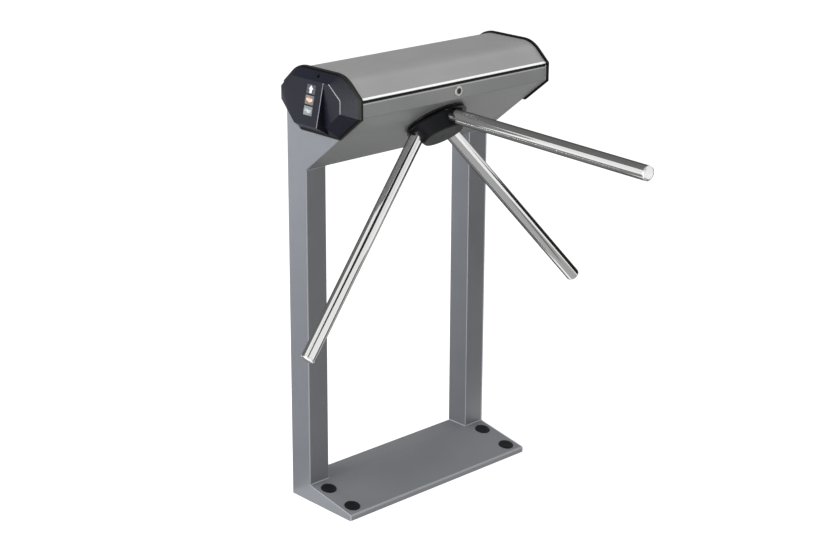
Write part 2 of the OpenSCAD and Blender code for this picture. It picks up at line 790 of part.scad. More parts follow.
module at_left_pawl(turn) {
    at_rotor() translate([pawl_pivot[0], pawl_pivot[1], 0]) rotate([0, 0, turn]) children();
}
module pawl_left() {
    color("#d09a3c") at_left_pawl(-pawl_swing) translate([0, 0, pawl_low]) difference() {
        linear_extrude(pawl_t) difference() {
            union() {
                circle(d = pawl_hub_d);
                rotate(nose_angle + 90) translate([0, -pawl_w / 2]) square([pawl_reach, pawl_w]);
                rotate(tail_angle) translate([0, -tail_w / 2]) square([pawl_tail, tail_w]);
                rotate(tail_angle) translate([pawl_tail, 0]) circle(d = tail_w);
            }
            rotate(tail_angle) translate([pawl_tail, 0]) {
                square([tail_play * 4, tail_pin_d + 2 * tail_play], center = true);
                for (s = [-1, 1]) translate([s * tail_play * 2, 0]) circle(d = tail_pin_d + 2 * tail_play);
            }
        }
        translate([0, 0, -over]) cylinder(d = pawl_pin_d + 2 * run_play, h = pawl_t + 2 * over);
    }
}
module pawl_right() {
    mirror([1, 0, 0]) pawl_left();
}

// Each pivot pin has a collar under its pawl and a clip over it
pin_head = 3;
module pawl_pins() {
    color("#c9ccd1") both_sides() at_left_pawl(0) {
        translate([0, 0, plate_low]) cylinder(d = pawl_pin_d, h = pawl_high + pin_head - plate_low);
        translate([0, 0, plate_in]) cylinder(d = pawl_hub_d - pin_head, h = pawl_low - touch - plate_in);
        translate([0, 0, pawl_high + touch]) cylinder(d = pawl_hub_d - pin_head, h = pin_head / 2);
    }
}

// Solenoids pull the pawls in; without power their springs hold the pawls clear of the disc
plunger_z = (pawl_low + pawl_high) / 2;
plunger_stroke = 2 * pawl_tail * sin(pawl_swing / 2);
frame_t = 2;
fork_l = tail_w + 2 * (frame_t + hub_gap);
fork_h = pawl_t * 2 + 2 * touch;
fork_gap = 1;
solenoid_front = pin_at_rest[0] - fork_l / 2 - plunger_stroke - fork_gap;
plunger_l = 30;

module solenoid_left() {
    color("#3f6f9c") at_rotor() translate([solenoid_front - solenoid_h, pin_at_rest[1], 0]) {
        difference() {
            slab(0, solenoid_h, -solenoid_w / 2, solenoid_w / 2, plate_in, plunger_z + solenoid_w / 2);
            slab(frame_t, solenoid_h - frame_t, -solenoid_w, solenoid_w,
                plate_in + frame_t, plunger_z + solenoid_w / 2 + over);
            translate([-over, 0, plunger_z]) rotate([0, 90, 0])
                cylinder(d = plunger_d + 4 * run_play, h = solenoid_h + 2 * over);
        }
        translate([frame_t, 0, plunger_z]) rotate([0, 90, 0])
            ring(solenoid_w - 2 * frame_t, plunger_d + 4 * run_play, solenoid_h - 2 * frame_t);
    }
}
module solenoid_right() {
    mirror([1, 0, 0]) solenoid_left();
}
module plunger_left() {
    color("#d7d9dd") at_rotor() translate([pin_at_rest[0], pin_at_rest[1], plunger_z]) {
        translate([-fork_l / 2 - plunger_l, 0, 0]) rotate([0, 90, 0]) cylinder(d = plunger_d, h = plunger_l);
        difference() {
            slab(-fork_l / 2, fork_l / 2, -plunger_d / 2, plunger_d / 2, -fork_h / 2, fork_h / 2);
            slab(-fork_l / 2 + frame_t, fork_l / 2 + over, -plunger_d, plunger_d,
                -pawl_t / 2 - touch, pawl_t / 2 + touch);
        }
        translate([0, 0, -fork_h / 2]) cylinder(d = tail_pin_d, h = fork_h);
    }
}
module plunger_right() {
    mirror([1, 0, 0]) plunger_left();
}

// Slotted optical sensor on a post, reaching in over the position disc
sensor_post_d = 8;
sensor_post_y = gear_module * (gear_teeth / 2 + 1) + sensor_post_d;
sensor_w = 12;
jaw_in = 8.4;
sensor_reach = position_r - jaw_in;
jaw_gap = 1.1;
arm_t = 2.5;
arm_z = position_high + 3 * jaw_gap;

module position_sensor() {
    color("#26282c") at_rotor() {
        difference() {
            slab(-sensor_w / 2, sensor_w / 2, sensor_reach, position_r + 6 * jaw_gap,
                disc_high + jaw_gap, arm_z);
            slab(-sensor_w, sensor_w, sensor_reach - over, position_r + 2 * jaw_gap,
                position_low - jaw_gap, position_high + jaw_gap);
        }
        slab(-sensor_w / 2, sensor_w / 2, sensor_reach, sensor_post_y + sensor_post_d / 2,
            arm_z, arm_z + arm_t);
        translate([0, sensor_post_y, plate_in]) cylinder(d = sensor_post_d, h = arm_z - plate_in);
    }
}

// Spindle, turned from one bar, bored for the three bolts that hold the hub to it
spindle_bolt_r = 34;
module spindle() {
    color("#c9ccd1") at_rotor() difference() {
        rotate_extrude() polygon([
            [0, hub_neck_in - spigot_h], [spigot_d / 2 - run_play, hub_neck_in - spigot_h],
            [spigot_d / 2 - run_play, hub_neck_in], [spindle_flange_d / 2, hub_neck_in],
            [spindle_flange_d / 2, spindle_flange_in], [spindle_d / 2 + stack_gap, spindle_flange_in],
            [spindle_d / 2 + stack_gap, bearing_low], [spindle_d / 2, bearing_low],
            [spindle_d / 2, gear_low], [spindle_top_d / 2, gear_low],
            [spindle_top_d / 2, position_high + nut_h + stack_gap], [0, position_high + nut_h + stack_gap]
        ]);
        for (a = [90:120:330]) rotate([0, 0, a]) translate([spindle_bolt_r, 0, hub_neck_in - over])
            cylinder(d = spindle_bolt_d + 2 * bolt_play, h = spindle_flange_t + 2 * over);
    }
}
spindle_bolt_l = 20;

// Hub: flange, cone and neck in one casting, with three slanting sockets
flange_in = -trim_t - hub_gap;
hub_edge = 2;
module along_arm(i) {
    at_rotor() rotate([0, 0, 120 * i]) translate([0, 0, apex_in]) rotate([180 - arm_angle, 0, 0]) children();
}
screw_r = 38;
module hub() {
    color("#1b1c20") difference() {
        at_rotor() difference() {
            rotate_extrude() polygon([
                [0, hub_neck_in], [hub_neck_d / 2, hub_neck_in], [hub_neck_d / 2, flange_in],
                [hub_flange_d / 2 - hub_edge / 2, flange_in], [hub_flange_d / 2, flange_in - hub_edge / 2],
                [hub_flange_d / 2, flange_in - hub_flange_t + hub_edge / 2],
                [hub_flange_d / 2 - hub_edge, flange_in - hub_flange_t],
                [hub_cone_d / 2, flange_in - hub_flange_t], [hub_end_d / 2, -hub_out], [0, -hub_out]
            ]);
            translate([0, 0, hub_neck_in - spigot_h - over]) cylinder(d = spigot_d, h = spigot_h + 2 * over);
            for (a = [90:120:330]) rotate([0, 0, a])
                translate([spindle_bolt_r, 0, spindle_flange_in - spindle_bolt_l - over])
                    cylinder(d = spindle_bolt_d + 2 * bolt_play, h = spindle_bolt_l + over);
            for (a = [30:120:270]) rotate([0, 0, a]) translate([screw_r, 0, -hub_out - over])
                cylinder(d = set_screw_d + 2 * run_play, h = hub_out / 2 + over);
            translate([0, 0, -hub_out - over])
                cylinder(d = cover_screw_d + 2 * run_play, h = cover_screw_l + over);
        }
        for (i = [0:2]) along_arm(i) translate([0, 0, socket_from])
            cylinder(d = arm_d + 2 * socket_play, h = hub_flange_d);
    }
}

// Cover on the hub's end face, recessed for its screw's head
cover_screw_d = 6;
cover_screw_l = 16;
cover_end = -hub_out - hub_cover_t;
cover_head_h = 1.5;
cover_head_d = 12;
module hub_cover() {
    color("#202126") at_rotor() difference() {
        rotate_extrude() polygon([
            [0, -hub_out], [hub_end_d / 2, -hub_out], [hub_end_d / 2 - hub_cover_t / 2, cover_end],
            [0, cover_end]
        ]);
        translate([0, 0, cover_end - over])
            cylinder(d = cover_head_d + 2 * run_play, h = cover_head_h + over);
        translate([0, 0, cover_end]) cylinder(d = cover_screw_d + 2 * run_play, h = hub_cover_t + over);
    }
}

// Arms: polished tubes in the hub's sockets
module arm(i) {
    color("#d9dbdf") along_arm(i) translate([0, 0, socket_from])
        ring(arm_d, arm_d - 2 * arm_wall, arm_reach - tip_h - socket_from);
}
module arm_1() {
    arm(0);
}
module arm_2() {
    arm(1);
}
module arm_3() {
    arm(2);
}
dome_steps = 6;
tip_play = 0.1;
module arm_tips() {
    color("#e8e9ec") for (i = [0:2]) along_arm(i) translate([0, 0, arm_reach - tip_h]) {
        rotate_extrude() polygon(concat(
            [[0, 0]], [[arm_d / 2, 0], [arm_d / 2, tip_h / 3]],
            [for (k = [1:dome_steps]) let (a = 90 * k / dome_steps)
                [arm_d / 2 - tip_h + tip_h * cos(a), tip_h / 3 + tip_h * 2 / 3 * sin(a)]],
            [[0, tip_h]]
        ));
        translate([0, 0, -tip_skirt]) cylinder(d = arm_d - 2 * arm_wall - 2 * tip_play, h = tip_skirt);
    }
}
// The hub's screws: three bolts through the spindle's flange, a set screw that presses on each tube,
// and the cover's screw
tube_under = apex_in - (screw_r + set_screw_d / 2) / tan(arm_angle) - arm_d / 2 / sin(arm_angle);
module hub_screws() {
    color("#9a9da3") at_rotor() {
        for (a = [90:120:330]) rotate([0, 0, a]) translate([spindle_bolt_r, 0, spindle_flange_in])
            cap_screw(spindle_bolt_d, spindle_bolt_l);
        for (a = [30:120:270]) rotate([0, 0, a]) translate([screw_r, 0, -hub_out + touch]) difference() {
            cylinder(d = set_screw_d, h = tube_under - touch + hub_out - touch);
            translate([0, 0, -over]) cylinder(d = set_screw_d / 2, h = set_screw_d / 2 + over, $fn = 6);
        }
        translate([0, 0, cover_end]) difference() {
            union() {
                cylinder(d = cover_head_d, h = cover_head_h);
                cylinder(d = cover_screw_d, h = cover_screw_l);
            }
            translate([0, 0, -over])
                cylinder(d = low_head_h_share * cover_screw_d, h = cover_head_h / 2 + over, $fn = 6);
        }
    }
}

// End caps: moulded shells on the side plates, with a raised indicator at the rear
cap_low = fold_z - cap_foot_h;
cap_low_run = cap_foot_h / tan(slant);
cap_rear_run = cap_foot_h;
cap_ring = [
    [front_y + cap_low_run, cap_low], [back_y - cap_rear_run, cap_low], [back_y, fold_z], [back_y, lid_low],
    [back_y - lid_run, head_h], [front_y + lid_run, head_h], [front_y, lid_low], [front_y, fold_z]
];
cap_radii = [0, 0, 0, 0, lid_bend_r, lid_bend_r, 0, 0];
cap_bend_steps = long_bend_steps / 2;
inner_bend_share = 0.5;
cap_edge_share = 0.15;
cap_edge_in = cap_edge_share * band_h;
face_low = cap_low + cap_low_in;
face_high = head_h - cap_top_in;
face_front = front_y + cap_front_in;
face_rear = back_y - cap_rear_in;
face_low_z = fold_z + cap_edge_in;
face_high_z = lid_low - cap_edge_in;
face_run_share = 1.12;
face_run = (face_high - face_high_z) * lid_run / (head_h - lid_low) * face_run_share;
face_low_run = (face_low_z - face_low) / tan(slant);
cap_face = [
    [face_front + face_low_run, face_low], [face_rear - face_low_run, face_low], [face_rear, face_low_z],
    [face_rear, face_high_z], [face_rear - face_run, face_high], [face_front + face_run, face_high],
    [face_front, face_high_z], [face_front, face_low_z]
];
// The indicator's face leans out from the cap's upper edge to its foot
signal_front = front_y + signal_in;
signal_rear = signal_front + signal_w;
signal_lean = (signal_out - cap_out) / (face_high - face_low);
signal_angle = atan(signal_lean);
function signal_x(z) = cap_out + (face_high - z) * signal_lean;

// A convex solid over points given as [distance out of the side plate, depth, height]
module solid_over(points) {
    hull() polyhedron(
        [for (p = points) [-side_x - p[0], p[1], p[2]]], [for (i = [0:len(points) - 3]) [i, i + 1, i + 2]]
    );
}
function raised(p, out) = [for (q = p) [out, q[0], q[1]]];
// Outside of the shell with no drop, inside of it with the wall's thickness as drop
module cap_form(inset, drop) {
    lean_drop = drop / cos(signal_angle);
    radii = cap_radii * (drop > 0 ? inner_bend_share : 1);
    rim = bent_ring(shifted_ring(cap_ring, inset), radii, cap_bend_steps);
    face = shifted_ring(cap_face, drop);
    solid_over(concat(raised(rim, cap_rim_t - drop), raised(face, cap_out - drop)));
    solid_over([
        [signal_x(face_low + drop) - lean_drop, signal_front + drop, face_low + drop],
        [signal_x(face_low + drop) - lean_drop, signal_rear - drop, face_low + drop],
        [signal_x(face_high - drop) - lean_drop, face_rear - face_run - drop, face_high - drop],
        [signal_x(face_high - drop) - lean_drop, signal_front + drop, face_high - drop],
        [cap_out - drop, face_rear - drop, face_low_z], [cap_out - drop, face_rear - drop, face_high_z],
        [cap_rim_t - drop, signal_front + drop, cap_low + drop],
        [cap_rim_t - drop, back_y - cap_rear_run - 2 * drop, cap_low + drop]
    ]);
}
cap_screw_d = 4;
cap_boss_d = 10;
cap_boss_out = 70;
cap_top_screw = [mid_y, head_h - cap_top_in / 2];
cap_boss_z = (fold_z + lid_low) / 2;
cap_bosses = [for (s = [-1, 1]) [mid_y + s * cap_boss_out, cap_boss_z]];
cap_places = concat(cap_bosses, [cap_top_screw]);
module at_cap(p) {
    translate([-side_x, p[0], p[1]]) rotate([0, -90, 0]) children();
}
tile_drop = 8;
// The frame of one indicator window: Z points out of the indicator's face
tile_y = signal_front + tile_in;
tile_top_z = face_high - tile_h / 2 - tile_drop;
module at_tile(k) {
    z = tile_top_z - k * tile_pitch;
    translate([-side_x - signal_x(z), tile_y, z]) rotate([0, signal_angle, 0]) rotate([90, 0, -90])
        children();
}
module tile(w, h, t) {
    linear_extrude(t) square([w, h], center = true);
}

module end_cap_left() {
    color("#1e2026") difference() {
        union() {
            difference() {
                union() {
                    between(-side_x - cap_rim_t, -side_x)
                        polygon(bent_ring(shifted_ring(cap_ring, -cap_lip), cap_radii, cap_bend_steps));
                    cap_form(-cap_lip + cap_wall, 0);
                }
                between(-side_x - cap_rim_t, -side_x + over) polygon(
                    bent_ring(shifted_ring(cap_ring, cap_wall), cap_radii * inner_bend_share, cap_bend_steps)
                );
                cap_form(cap_wall, cap_wall);
            }
            intersection() {
                for (p = cap_places) at_cap(p) cylinder(d = cap_boss_d, h = signal_out);
                cap_form(-cap_lip + cap_wall, 0);
            }
            for (p = cap_places) at_cap(p) cylinder(d = cap_boss_d, h = cap_rim_t);
        }
        for (p = cap_bosses) at_cap(p) translate([0, 0, -over])
            cylinder(d = cap_screw_d + 2 * run_play, h = 3 * cap_screw_d + over);
        at_cap(cap_top_screw) translate([0, 0, -over]) cylinder(d = cap_screw_d + 2 * bolt_play, h = cap_out);
        at_cap(cap_top_screw) translate([0, 0, cap_rim_t]) cylinder(d = 2 * cap_screw_d, h = cap_out);
        for (k = [0:2]) at_tile(k) translate([0, 0, -2 * cap_wall])
            tile(tile_w + 2 * plug_play, tile_h + 2 * plug_play, 3 * cap_wall);
    }
}
module end_cap_right() {
    mirror([1, 0, 0]) end_cap_left();
}

// One screw from outside at the top of each cap, two from inside the head
module cap_screws() {
    color("#c9ccd1") both_sides() {
        at_cap(cap_top_screw) translate([0, 0, cap_rim_t])
            cap_screw_low(cap_screw_d, cap_rim_t + side_t + cap_screw_d);
        for (p = cap_bosses) at_cap(p) translate([0, 0, -side_t]) rotate([180, 0, 0])
            cap_screw_low(cap_screw_d, side_t + 2 * cap_screw_d);
    }
}

lens_rim = 1.2;
lens_rim_t = 1;
module signal_lenses_left() {
    color("#8d9096") for (k = [0:2]) at_tile(k) {
        translate([0, 0, -cap_wall - lens_rim_t]) tile(tile_w, tile_h, cap_wall + lens_rim_t - touch);
        translate([0, 0, -cap_wall - lens_rim_t]) tile(tile_w + 2 * lens_rim, tile_h + lens_rim, lens_rim_t);
    }
}
module signal_lenses_right() {
    mirror([1, 0, 0]) signal_lenses_left();
}
signal_board_t = 1.6;
module signal_boards() {
    color("#1f5d38") both_sides() at_tile(1)
        translate([0, 0, -cap_wall - lens_rim_t - signal_board_t])
            tile(tile_w + 2 * lens_rim, tile_h + 2 * tile_pitch + 2 * lens_rim, signal_board_t);
}

// Cam lock in the band: body and nut are fixed, plug and cam turn with the key
lock_bezel_t = 3;
lock_barrel_l = 24;
lock_nut_h = 5;
lock_nut_d = 27;
cam_t = 2;
module at_lock() {
    translate([0, front_y, lock_z]) rotate([-90, 0, 0]) children();
}
module lock_body() {
    color("#d4d6da") at_lock() difference() {
        rotate_extrude() polygon([
            [lock_plug_d / 2 + run_play, -lock_bezel_t], [lock_bezel_d / 2 - lock_bezel_t / 2, -lock_bezel_t],
            [lock_bezel_d / 2, -lock_bezel_t / 2], [lock_bezel_d / 2, 0], [lock_barrel_d / 2, 0],
            [lock_barrel_d / 2, lock_barrel_l], [lock_plug_d / 2 + run_play, lock_barrel_l]
        ]);
    }
}
module lock_nut() {
    color("#d6d8db") at_lock() translate([0, 0, sheet_t]) difference() {
        cylinder(d = lock_nut_d, h = lock_nut_h, $fn = 6);
        translate([0, 0, -over]) cylinder(d = lock_barrel_d + 2 * run_play, h = lock_nut_h + 2 * over);
    }
}
key_w = 8;
key_t = 2;
key_l = 9;
module lock_plug() {
    color("#c4c7cc") at_lock() difference() {
        translate([0, 0, -lock_bezel_t + touch]) cylinder(d = lock_plug_d, h = lock_bezel_t + lock_barrel_l);
        slab(-key_t / 2, key_t / 2, -key_w / 2, key_w / 2, -lock_bezel_t - over, key_l);
    }
}
// The free position is up; locked, the cam lies over the lid keeper's foot
module lock_cam() {
    color("#b9bcc2") at_lock() translate([0, 0, lock_barrel_l + touch]) linear_extrude(cam_t) union() {
        circle(d = cam_w);
        translate([-cam_w / 2, -cam_reach + cam_w / 2]) square([cam_w, cam_reach - cam_w / 2]);
        translate([0, -cam_reach + cam_w / 2]) circle(d = cam_w);
    }
}

// Keeper: a bent strip that hangs from the lid, its foot under the locked cam
keeper_t = 2;
keeper_w = 24;
keeper_gap = 0.5;
cam_side_gap = 9;
keeper_x = cam_w / 2 + cam_side_gap;
keeper_foot_l = 9;
cam_back = front_y + lock_barrel_l + touch + cam_t;
lid_slope = atan2(head_h - lid_low, lid_run);
lid_inner_drop = sheet_t / cos(lid_slope);
function lid_under(y) = lid_low + (y - front_y) * tan(lid_slope) - lid_inner_drop;
keeper_web_y = cam_back + keeper_gap + keeper_t;
keeper_foot_z = lock_z - cam_w / 2 - keeper_gap - keeper_t;
keeper_flange_y = front_y + lid_hem;
module lid_keeper() {
    color("#b9bcc2") between(keeper_x, keeper_x + keeper_w) polygon(sheet([
        [keeper_flange_y, lid_under(keeper_flange_y)], [keeper_web_y, lid_under(keeper_web_y)],
        [keeper_web_y, keeper_foot_z], [keeper_web_y - keeper_foot_l, keeper_foot_z]
    ], -keeper_t));
}

// Lid: one folded sheet with long bends and an inward hem along each edge
module lid() {
    color("#9b9b98") union() {
        across(frame_w - 2 * lid_play) polygon(sheet(lid_skin, -sheet_t));
        for (s = [0, 1]) across(2 * plate_x - 2 * lid_play)
            polygon(sheet(lid_edge(s), s == 0 ? -sheet_t : sheet_t));
    }
}
function lid_edge(s) =
    let (edge = [
        [front_y + lid_hem, lid_low], [front_y, lid_low],
        [front_y + lid_run / 4, lid_low + (head_h - lid_low) / 4]
    ]) s == 0 ? edge : [for (p = edge) [2 * mid_y - p[0], p[1]]];

// Gasket on the head's flanges and round the side plates' shoulders
gasket_w = 9;
module lid_gasket() {
    color("#151515") for (y = [front_y + rest_flange - gasket_w, back_y - rest_flange])
        slab(-plate_x, plate_x, y, y + gasket_w, band_z, lid_low - touch);
}

// Hinges behind the gap between head and lid
hinge_y = back_y + knuckle_d / 2 + touch / 2;
hinge_z = band_z + lid_gap / 2;
knuckle_gap = 0.3;
leaf_gap = 0.5;
module knuckles(spans) {
    for (w = spans) translate([w[0], hinge_y, hinge_z]) rotate([0, 90, 0])
        cylinder(d = knuckle_d, h = w[1] - w[0]);
}
module hinge_bore() {
    translate([hinge_x - hinge_w, hinge_y, hinge_z]) rotate([0, 90, 0])
        cylinder(d = hinge_pin_d + 2 * run_play, h = 2 * hinge_w);
}
hinge_0 = hinge_x - hinge_w / 2;
hinge_1 = hinge_0 + hinge_w / 3;
hinge_2 = hinge_1 + hinge_w / 3;
hinge_3 = hinge_x + hinge_w / 2;
module hinge_leaves_frame() {
    color("#a6a9ae") both_sides() difference() {
        union() {
            slab(hinge_0, hinge_3, back_y, back_y + leaf_t,
                hinge_z - leaf_h, hinge_z - knuckle_d / 2 - leaf_gap);
            for (w = [[hinge_0, hinge_1 - knuckle_gap / 2], [hinge_2 + knuckle_gap / 2, hinge_3]])
                slab(w[0], w[1], back_y, back_y + leaf_t, hinge_z - leaf_h, hinge_z);
            knuckles([[hinge_0, hinge_1 - knuckle_gap / 2], [hinge_2 + knuckle_gap / 2, hinge_3]]);
        }
        hinge_bore();
    }
}
// The lid's leaf lies on the rear slope
module hinge_leaves_lid() {
    slope_dir = [-lid_run, head_h - lid_low] / norm([lid_run, head_h - lid_low]);
    slope_out = [slope_dir[1], -slope_dir[0]];
    foot = [back_y, lid_low];
    color("#a6a9ae") both_sides() difference() {
        union() {
            between(hinge_0, hinge_3) polygon([
                foot + slope_dir * leaf_t, foot + slope_dir * leaf_h,
                foot + slope_dir * leaf_h + slope_out * leaf_t, foot + slope_dir * leaf_t + slope_out * leaf_t
            ]);
            between(hinge_1 + knuckle_gap / 2, hinge_2 - knuckle_gap / 2) polygon([
                foot + slope_dir * leaf_t * 2, foot + slope_dir * leaf_t * 2 + slope_out * leaf_t,
                [hinge_y, hinge_z + knuckle_d / 2], [hinge_y, hinge_z], foot + slope_dir * touch
            ]);
            knuckles([[hinge_1 + knuckle_gap / 2, hinge_2 - knuckle_gap / 2]]);
        }
        hinge_bore();
    }
}
module hinge_pins() {
    color("#c9ccd1") both_sides() translate([hinge_0 - leaf_t, hinge_y, hinge_z]) rotate([0, 90, 0])
        cylinder(d = hinge_pin_d, h = hinge_w + 2 * leaf_t);
}

// Control board on standoffs in the left bay of the head
board_x = -plate_x + board_gap;
board_z = sheet_t + board_stand;
board_hole_d = 3.5;
board_screw_d = 3;
board_inset = 6;
board_places = [
    for (x = [board_x + board_inset, board_x + board_w - board_inset],
         y = [-board_l / 2 + board_inset, board_l / 2 - board_inset]) [x, y]
];
module circuit_board() {
    color("#1f6b45") at_rotor() difference() {
        slab(board_x, board_x + board_w, -board_l / 2, board_l / 2, board_z, board_z + board_t);
        for (p = board_places) translate([p[0], p[1], board_z - over])
            cylinder(d = board_hole_d, h = board_t + 2 * over);
    }
}
module board_standoffs() {
    color("#c8b560") at_rotor() for (p = board_places) translate([p[0], p[1], sheet_t]) {
        cylinder(d = 2 * board_screw_d, h = board_stand, $fn = 6);
        cylinder(d = board_screw_d, h = board_stand + board_t);
        translate([0, 0, board_stand + board_t])
            cylinder(d = 2 * board_screw_d, h = low_head_h_share * board_screw_d);
    }
}
// Terminal blocks, relays and capacitors on the board
relay = [19, 15, 15];
terminal = [8, 10, 12];
terminal_in = 2;
capacitor_d = 12;
capacitor_h = 19;
module board_parts() {
    at_rotor() translate([board_x, 0, board_z + board_t]) {
        color("#2f7d4f") for (k = [0:7])
            translate([2 * board_inset + k * (terminal[0] + touch), terminal_in - board_l / 2, 0])
                cube(terminal);
        color("#2b2d33") for (k = [0:2])
            translate([2 * board_inset + k * (relay[0] + board_inset), board_l / 6, 0]) cube(relay);
        color("#3a3f55") for (k = [0:1]) translate([3 * board_inset + k * 2 * capacitor_d, -board_l / 6, 0])
            cylinder(d = capacitor_d, h = capacitor_h);
        color("#17181c") translate([board_w - 5 * board_inset, -board_l / 6, 0])
            cube([3 * board_inset, 3 * board_inset, board_t]);
    }
}

floor_plate();
base_cover();
side_plate_left();
side_plate_right();
post_left();
post_right();
head_shell();
base_plugs();
cable_grommets();
trim_ring();
mech_plate();
mech_pillars();
mech_screws();
bearing_housing();
bearing_outer_rings();
bearing_inner_rings();
ball_sets();
gearbox();
motor();
solenoid_left();
solenoid_right();
pawl_pins();
circuit_board();
board_standoffs();
board_parts();
position_sensor();
end_cap_left();
end_cap_right();
cap_screws();
signal_lenses_left();
signal_lenses_right();
signal_boards();
lock_body();
lock_nut();
hinge_leaves_frame();
hinge_pins();
lid_gasket();
lid();
hinge_leaves_lid();
lid_keeper();
lock_plug();
lock_cam();
hub();
hub_cover();
hub_screws();
arm_1();
arm_2();
arm_3();
arm_tips();
spindle();
drive_gear();
lock_disc();
position_disc();
spindle_spacers();
spindle_nut();
drive_pinion();
pawl_left();
pawl_right();
plunger_left();
plunger_right();
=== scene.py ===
import math

import bpy
from mathutils import Matrix, Vector


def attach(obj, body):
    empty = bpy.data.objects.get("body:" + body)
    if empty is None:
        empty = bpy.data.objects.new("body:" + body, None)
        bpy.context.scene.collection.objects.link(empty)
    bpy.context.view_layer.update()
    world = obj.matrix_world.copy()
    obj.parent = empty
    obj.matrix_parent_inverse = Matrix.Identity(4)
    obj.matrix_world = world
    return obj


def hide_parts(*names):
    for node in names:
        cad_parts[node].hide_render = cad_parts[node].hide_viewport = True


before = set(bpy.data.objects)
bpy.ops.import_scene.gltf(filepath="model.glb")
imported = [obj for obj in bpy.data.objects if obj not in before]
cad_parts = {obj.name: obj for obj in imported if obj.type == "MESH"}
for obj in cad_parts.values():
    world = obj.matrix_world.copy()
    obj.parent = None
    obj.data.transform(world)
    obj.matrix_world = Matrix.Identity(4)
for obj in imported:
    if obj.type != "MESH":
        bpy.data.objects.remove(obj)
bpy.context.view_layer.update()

# ---------------------------------------------------------------------------------------------
# Camera. It stands to the left of the arms, a little over the head, with a long lens, and looks
# down at the turnstile as the photograph does.
camera_azimuth = math.radians(-44.06)
camera_elevation = math.radians(17.346)
camera_roll = math.radians(0.6)
camera_data = bpy.data.cameras.new("camera")
camera_data.sensor_width = 36
camera_data.lens = 78.743
camera_data.shift_x = -0.03
camera_data.shift_y = -0.06
camera_data.clip_end = 60
camera = bpy.data.objects.new("camera", camera_data)
camera.location = (-2.6796, -2.84426, 1.82817)
back = Vector((
    math.sin(camera_azimuth) * math.cos(camera_elevation),
    -math.cos(camera_azimuth) * math.cos(camera_elevation),
    math.sin(camera_elevation),
))
level = Vector((math.cos(camera_azimuth), math.sin(camera_azimuth), 0))
upright = back.cross(level)
right = level * math.cos(camera_roll) + upright * math.sin(camera_roll)
up = upright * math.cos(camera_roll) - level * math.sin(camera_roll)
camera.rotation_euler = Matrix((right, up, back)).transposed().to_euler()
bpy.context.scene.collection.objects.link(camera)
bpy.context.scene.camera = camera

# ---------------------------------------------------------------------------------------------
# Studio. A white floor under a white sky, a broad lamp over the head, a cooler one at the left
# and a narrow one that shows in gloss alone. Cards and mats that only reflections see give the
# polished tubes their streaks.
bpy.context.scene.view_settings.view_transform = "Standard"
sky_tint = (0.96, 0.97, 1, 1)
sky_light = 0.58
floor_color = (0.42, 0.42, 0.42, 1)
floor_lift = 0.82
floor_side = 40
floor_drop = -0.0004
world = bpy.data.worlds.new("sky")
bpy.context.scene.world = world
world.use_nodes = True
sky = world.node_tree
sky.nodes.clear()


def wire(tree, source, socket, target, name):
    tree.links.new(source.outputs[socket], target.inputs[name])


def seen_directly(tree):
    """1 for rays that show the surroundings as they are, 0 for rays that only light the object."""
    path = tree.nodes.new("ShaderNodeLightPath")
    rays = tree.nodes.new("ShaderNodeMath")
    rays.operation = "MAXIMUM"
    wire(tree, path, "Is Camera Ray", rays, 0)
    wire(tree, path, "Is Glossy Ray", rays, 1)
    more = tree.nodes.new("ShaderNodeMath")
    more.operation = "MAXIMUM"
    wire(tree, rays, 0, more, 0)
    wire(tree, path, "Is Transmission Ray", more, 1)
    return more


sky_out = sky.nodes.new("ShaderNodeOutputWorld")
sky_mix = sky.nodes.new("ShaderNodeMixShader")
sky_lit = sky.nodes.new("ShaderNodeBackground")
sky_lit.inputs["Color"].default_value = sky_tint
sky_lit.inputs["Strength"].default_value = sky_light
sky_seen = sky.nodes.new("ShaderNodeBackground")
sky_seen.inputs["Color"].default_value = (1, 1, 1, 1)
sky_seen.inputs["Strength"].default_value = 1
wire(sky, seen_directly(sky), 0, sky_mix, 0)
wire(sky, sky_lit, 0, sky_mix, 1)
wire(sky, sky_seen, 0, sky_mix, 2)
wire(sky, sky_mix, 0, sky_out, "Surface")


def stage_plane(name, centre, size, turn=(0, 0, 0)):
    """A flat piece of the stage, with an empty material and that material's output."""
    bpy.ops.object.select_all(action="DESELECT")
    bpy.ops.mesh.primitive_plane_add(size=1, location=centre, rotation=turn)
    plane = bpy.context.object
    plane.name = name
    plane.scale = (*size, 1)
    paint = bpy.data.materials.new(name)
    paint.use_nodes = True
    paint.node_tree.nodes.clear()
    plane.data.materials.append(paint)
    return plane, paint.node_tree, paint.node_tree.nodes.new("ShaderNodeOutputMaterial")


ground, tree, ground_out = stage_plane("ground", (0, 0, floor_drop), (floor_side, floor_side))
ground_sum = tree.nodes.new("ShaderNodeAddShader")
ground_matt = tree.nodes.new("ShaderNodeBsdfDiffuse")
ground_matt.inputs["Color"].default_value = floor_color
ground_glow = tree.nodes.new("ShaderNodeEmission")
ground_rays = tree.nodes.new("ShaderNodeMath")
ground_rays.operation = "MULTIPLY"
ground_rays.inputs[1].default_value = floor_lift
wire(tree, seen_directly(tree), 0, ground_rays, 0)
wire(tree, ground_rays, 0, ground_glow, "Strength")
wire(tree, ground_matt, 0, ground_sum, 0)
wire(tree, ground_glow, 0, ground_sum, 1)
wire(tree, ground_sum, 0, ground_out, "Surface")


def lamp(name, place, aim, size, watts, color):
    """A rectangular lamp at a place, aimed at a point, that reflections don't show."""
    light = bpy.data.lights.new(name, "AREA")
    light.shape = "RECTANGLE"
    light.size, light.size_y = size
    light.energy = watts
    light.color = color
    body = bpy.data.objects.new(name, light)
    body.location = place
    body.rotation_euler = (Vector(place) - Vector(aim)).to_track_quat("Z", "Y").to_euler()
    body.visible_glossy = body.visible_camera = False
    bpy.context.scene.collection.objects.link(body)
    return body


